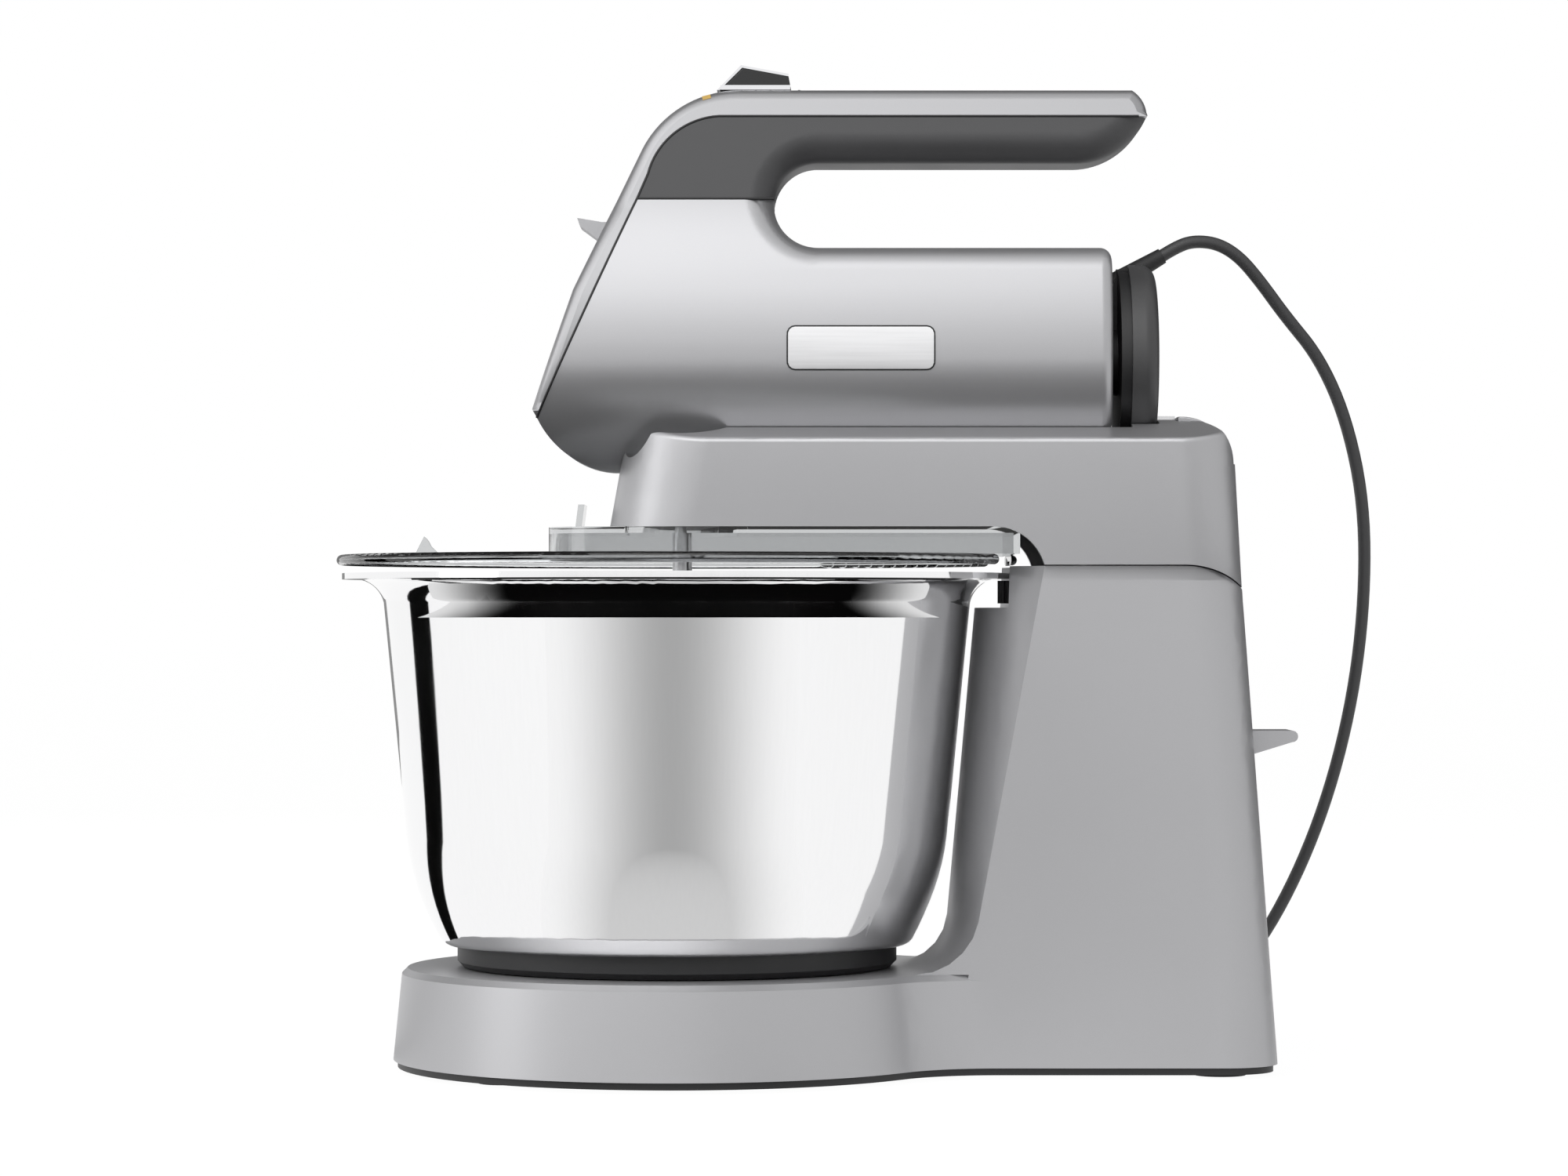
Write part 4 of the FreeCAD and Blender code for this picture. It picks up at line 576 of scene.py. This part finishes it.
def coilPoints(given):
    # spirals in on the table, climbs half a turn and spirals out on top
    last, before = Vector(given["route"][-1]), Vector(given["route"][-2])
    startAngle = math.atan2(last.y - before.y, last.x - before.x) - math.pi / 2
    outer, step = given["coilOuter"], given["coilStep"]
    middle = Vector((last.x - outer * math.cos(startAngle), last.y - outer * math.sin(startAngle), 0))
    inner = outer - given["layerTurns"] * step
    stepAngle = 2 * math.pi / given["pointsPerTurn"]
    swell = 1 / math.cos(stepAngle / 2)    # control points stand outside the turn that they draw
    points = []
    for i in range(1, int(given["wholeTurns"] * given["pointsPerTurn"]) + 1):
        turns = i / given["pointsPerTurn"]
        share = min(max((turns - given["layerTurns"]) / given["climbTurns"], 0), 1)
        if share == 0:
            radius = outer - step * turns
        elif share < 1:
            radius = inner - step * given["climbTurns"] * share * (1 - share)
        else:
            radius = inner + step * (turns - given["layerTurns"] - given["climbTurns"])
        angle = startAngle + 2 * math.pi * turns
        height = given["coilLow"] + step * share * share * (3 - 2 * share)
        reach = radius * swell
        points.append(middle + Vector((reach * math.cos(angle), reach * math.sin(angle), height)))
    turns = given["wholeTurns"]
    angle = startAngle + 2 * math.pi * turns
    radius = inner + step * (turns - given["layerTurns"] - given["climbTurns"])
    leave = middle + Vector((radius * math.cos(angle), radius * math.sin(angle), given["coilLow"] + step))
    along = Vector((-math.sin(angle), math.cos(angle), 0))
    rise = Vector((0, 0, given["plugHeight"] - leave.z))
    points += [leave + along * given["tail"] * part + rise * lift for part, lift in given["tailPoints"]]
    return points


def makeCord(given):
    points = [Vector(spot) for spot in given["route"]] + coilPoints(given)
    line = bpy.data.curves.new("mixerCord", "CURVE")
    line.dimensions = "3D"
    line.bevel_depth = given["thick"] / 2
    line.bevel_resolution = given["roundSteps"]
    line.resolution_u = given["pathSteps"]
    line.use_fill_caps = True
    spline = line.splines.new("NURBS")
    spline.points.add(len(points) - 1)
    for spot, point in zip(spline.points, points):
        spot.co = (*(point * mm), 1)
    spline.order_u = given["pathOrder"]
    spline.use_endpoint_u = True
    cord = bpy.data.objects.new("mixerCord", line)
    scene.collection.objects.link(cord)
    line.materials.append(finishes["cordCover"])
    return cord


cord = makeCord(cordSet)
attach(cord, "mixer")
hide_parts("cord_lead", "cord_coil")
print("cord laid")

# pale studio: the background is white to the camera and in reflections, and lights the object softly
studio = {"floorSize": 40.0, "ambient": 0.3, "backdrop": 1.0, "floorShare": 0.9, "floorGlow": 1.08,
          "floorColour": 0.6, "floorRough": 0.9}
world = bpy.data.worlds.new("paleStudio")
scene.world = world
world.use_nodes = True


def seenRays(tree):
    rays = addNode(tree, "ShaderNodeLightPath").outputs
    bright = mathNode(tree, "MAXIMUM", rays["Is Glossy Ray"], rays["Is Transmission Ray"])
    return mathNode(tree, "MAXIMUM", rays["Is Camera Ray"], bright)


background = world.node_tree.nodes["Background"]
background.inputs["Color"].default_value = (1, 1, 1, 1)
shown = rangeNode(world.node_tree, seenRays(world.node_tree), studio["ambient"], studio["backdrop"])
world.node_tree.links.new(shown, background.inputs["Strength"])


def makeSheet(name, corners, faces):
    mesh = bpy.data.meshes.new(name)
    mesh.from_pydata(corners, [], faces)
    sheet = bpy.data.objects.new(name, mesh)
    scene.collection.objects.link(sheet)
    material = bpy.data.materials.new(name)
    material.use_nodes = True
    mesh.materials.append(material)
    return sheet, material.node_tree


def makeFloor():
    half = studio["floorSize"] / 2
    corners = [(-half, -half, 0), (half, -half, 0), (half, half, 0), (-half, half, 0)]
    tree = makeSheet("paleFloor", corners, [(0, 1, 2, 3)])[1]
    shader = tree.nodes["Principled BSDF"]
    shader.inputs["Base Color"].default_value = (*[studio["floorColour"]] * 3, 1)
    shader.inputs["Roughness"].default_value = studio["floorRough"]
    glow = addNode(tree, "ShaderNodeEmission", None, Strength=studio["floorGlow"])
    share = mathNode(tree, "MULTIPLY", seenRays(tree), studio["floorShare"])
    mix = addNode(tree, "ShaderNodeMixShader", None, i0=share, i1=shader.outputs[0], i2=glow.outputs[0])
    tree.links.new(mix.outputs[0], tree.nodes["Material Output"].inputs["Surface"])


makeFloor()

# large soft lamps; the one behind isn't mirrored by anything
lampAim = (0, 0, 0.2)
lampSet = {
    "keyLamp": {"place": (-0.65, -1.5, 1.67), "size": (2.6, 1.9), "energy": 26.0},
    "sideLamp": {"place": (-1.9, -0.6, 0.8), "size": (0.9, 1.3), "energy": 6.0},
    "backLamp": {"place": (-0.4, 1.6, 1.3), "size": (1.2, 0.8), "energy": 6.0, "mirrored": False},
}


def addLamp(name, given):
    lamp = bpy.data.lights.new(name, "AREA")
    lamp.shape = "RECTANGLE"
    lamp.size, lamp.size_y = given["size"]
    lamp.energy = given["energy"]
    item = bpy.data.objects.new(name, lamp)
    item.visible_glossy = given.get("mirrored", True)
    item.location = given["place"]
    item.rotation_euler = (Vector(lampAim) - Vector(given["place"])).to_track_quat("-Z", "Y").to_euler()
    scene.collection.objects.link(item)


for name, given in lampSet.items():
    addLamp(name, given)

# cards that show only in reflections, fanned round the bowl's axis or their own
# turns count in degrees from the camera towards the left, near and far are reach and height in metres
cardSet = {
    "leftCard": {"mid": 117.0, "half": 8.0, "near": (0.13, 0.001), "far": (2.3, 0.001),
                 "tones": (0.003, 0.003)},
    "edgeCard": {"mid": 169.0, "half": 11.0, "near": (2.4, 0.0), "far": (2.4, 0.8), "tones": (0.28, 0.28)},
    "frontCard": {"mid": 1.0, "half": 48.0, "near": (0.085, 0.001), "far": (1.7, 0.001), "tones": (0.42, 1.0),
                  "fade": (0.1, 0.8), "fadeTone": 0.66},
    "rimCard": {"mid": -2.0, "half": 62.0, "near": (0.1036, 0.158), "far": (0.13, 0.158),
                "tones": (0.002, 0.8), "flat": 0.6},
    "highCard": {"mid": 180.0, "half": 75.0, "near": (0.0, 1.3), "far": (3.5, 1.3), "tones": (0.05, 0.3)},
    "rightCard": {"mid": -140.0, "half": 32.0, "near": (1.9, 0.0), "far": (1.9, 1.4), "tones": (0.04, 0.2)},
    "lowCard": {"mid": 0.0, "half": 28.0, "near": (0.31, 0.171), "far": (0.85, 0.171), "tones": (0.02, 0.02),
                "oneSided": True, "axis": (0.03, 0.25)},
    "noseCard": {"mid": 75.0, "half": 55.0, "near": (0.05, 0.2), "far": (0.16, 0.2), "tones": (0.02, 0.02),
                 "oneSided": True},
}
cardSteps = 48


def addCard(name, given):
    corners = []
    axis = given.get("axis", bowlAxis)
    mid, half = math.radians(given["mid"]), math.radians(given["half"])
    for i in range(cardSteps + 1):
        turn = mid + half * (2 * i / cardSteps - 1)
        for reach, height in (given["near"], given["far"]):
            corners.append((axis[0] - reach * math.sin(turn), axis[1] - reach * math.cos(turn), height))
    faces = [(2 * i, 2 * i + 2, 2 * i + 3, 2 * i + 1) for i in range(cardSteps)]
    card, tree = makeSheet(name, corners, faces)
    spot = addNode(tree, "ShaderNodeSeparateXYZ", None,
                   Vector=addNode(tree, "ShaderNodeTexCoord").outputs["Object"]).outputs
    left = mathNode(tree, "SUBTRACT", axis[0], spot[0])
    front = mathNode(tree, "SUBTRACT", axis[1], spot[1])
    # turned back by the middle first, so that no card crosses the angle's jump
    side = mathNode(tree, "SUBTRACT", mathNode(tree, "MULTIPLY", left, math.cos(mid)),
                    mathNode(tree, "MULTIPLY", front, math.sin(mid)))
    ahead = mathNode(tree, "ADD", mathNode(tree, "MULTIPLY", left, math.sin(mid)),
                     mathNode(tree, "MULTIPLY", front, math.cos(mid)))
    offset = mathNode(tree, "ABSOLUTE", mathNode(tree, "ARCTAN2", side, ahead))
    tone = smoothNode(tree, offset, (given.get("flat", 0.0) * half, half), given["tones"])
    if "fade" in given:
        squares = [mathNode(tree, "MULTIPLY", part, part) for part in (left, front)]
        reach = mathNode(tree, "SQRT", mathNode(tree, "ADD", *squares))
        glow = smoothNode(tree, reach, given["fade"], (given["fadeTone"], 0.0))
        tone = mathNode(tree, "MAXIMUM", tone, glow)
    shade = addNode(tree, "ShaderNodeEmission", None, Strength=tone).outputs[0]
    if given.get("oneSided"):
        hidden = addNode(tree, "ShaderNodeBsdfTransparent").outputs[0]
        under = addNode(tree, "ShaderNodeNewGeometry").outputs["Backfacing"]
        shade = addNode(tree, "ShaderNodeMixShader", None, i0=under, i1=shade, i2=hidden).outputs[0]
    tree.links.new(shade, tree.nodes["Material Output"].inputs["Surface"])
    card.visible_camera = False
    card.visible_transmission = False
    card.visible_shadow = False
    card.visible_diffuse = False


for name, given in cardSet.items():
    addCard(name, given)
scene.view_settings.view_transform = "Standard"
print("studio lit")
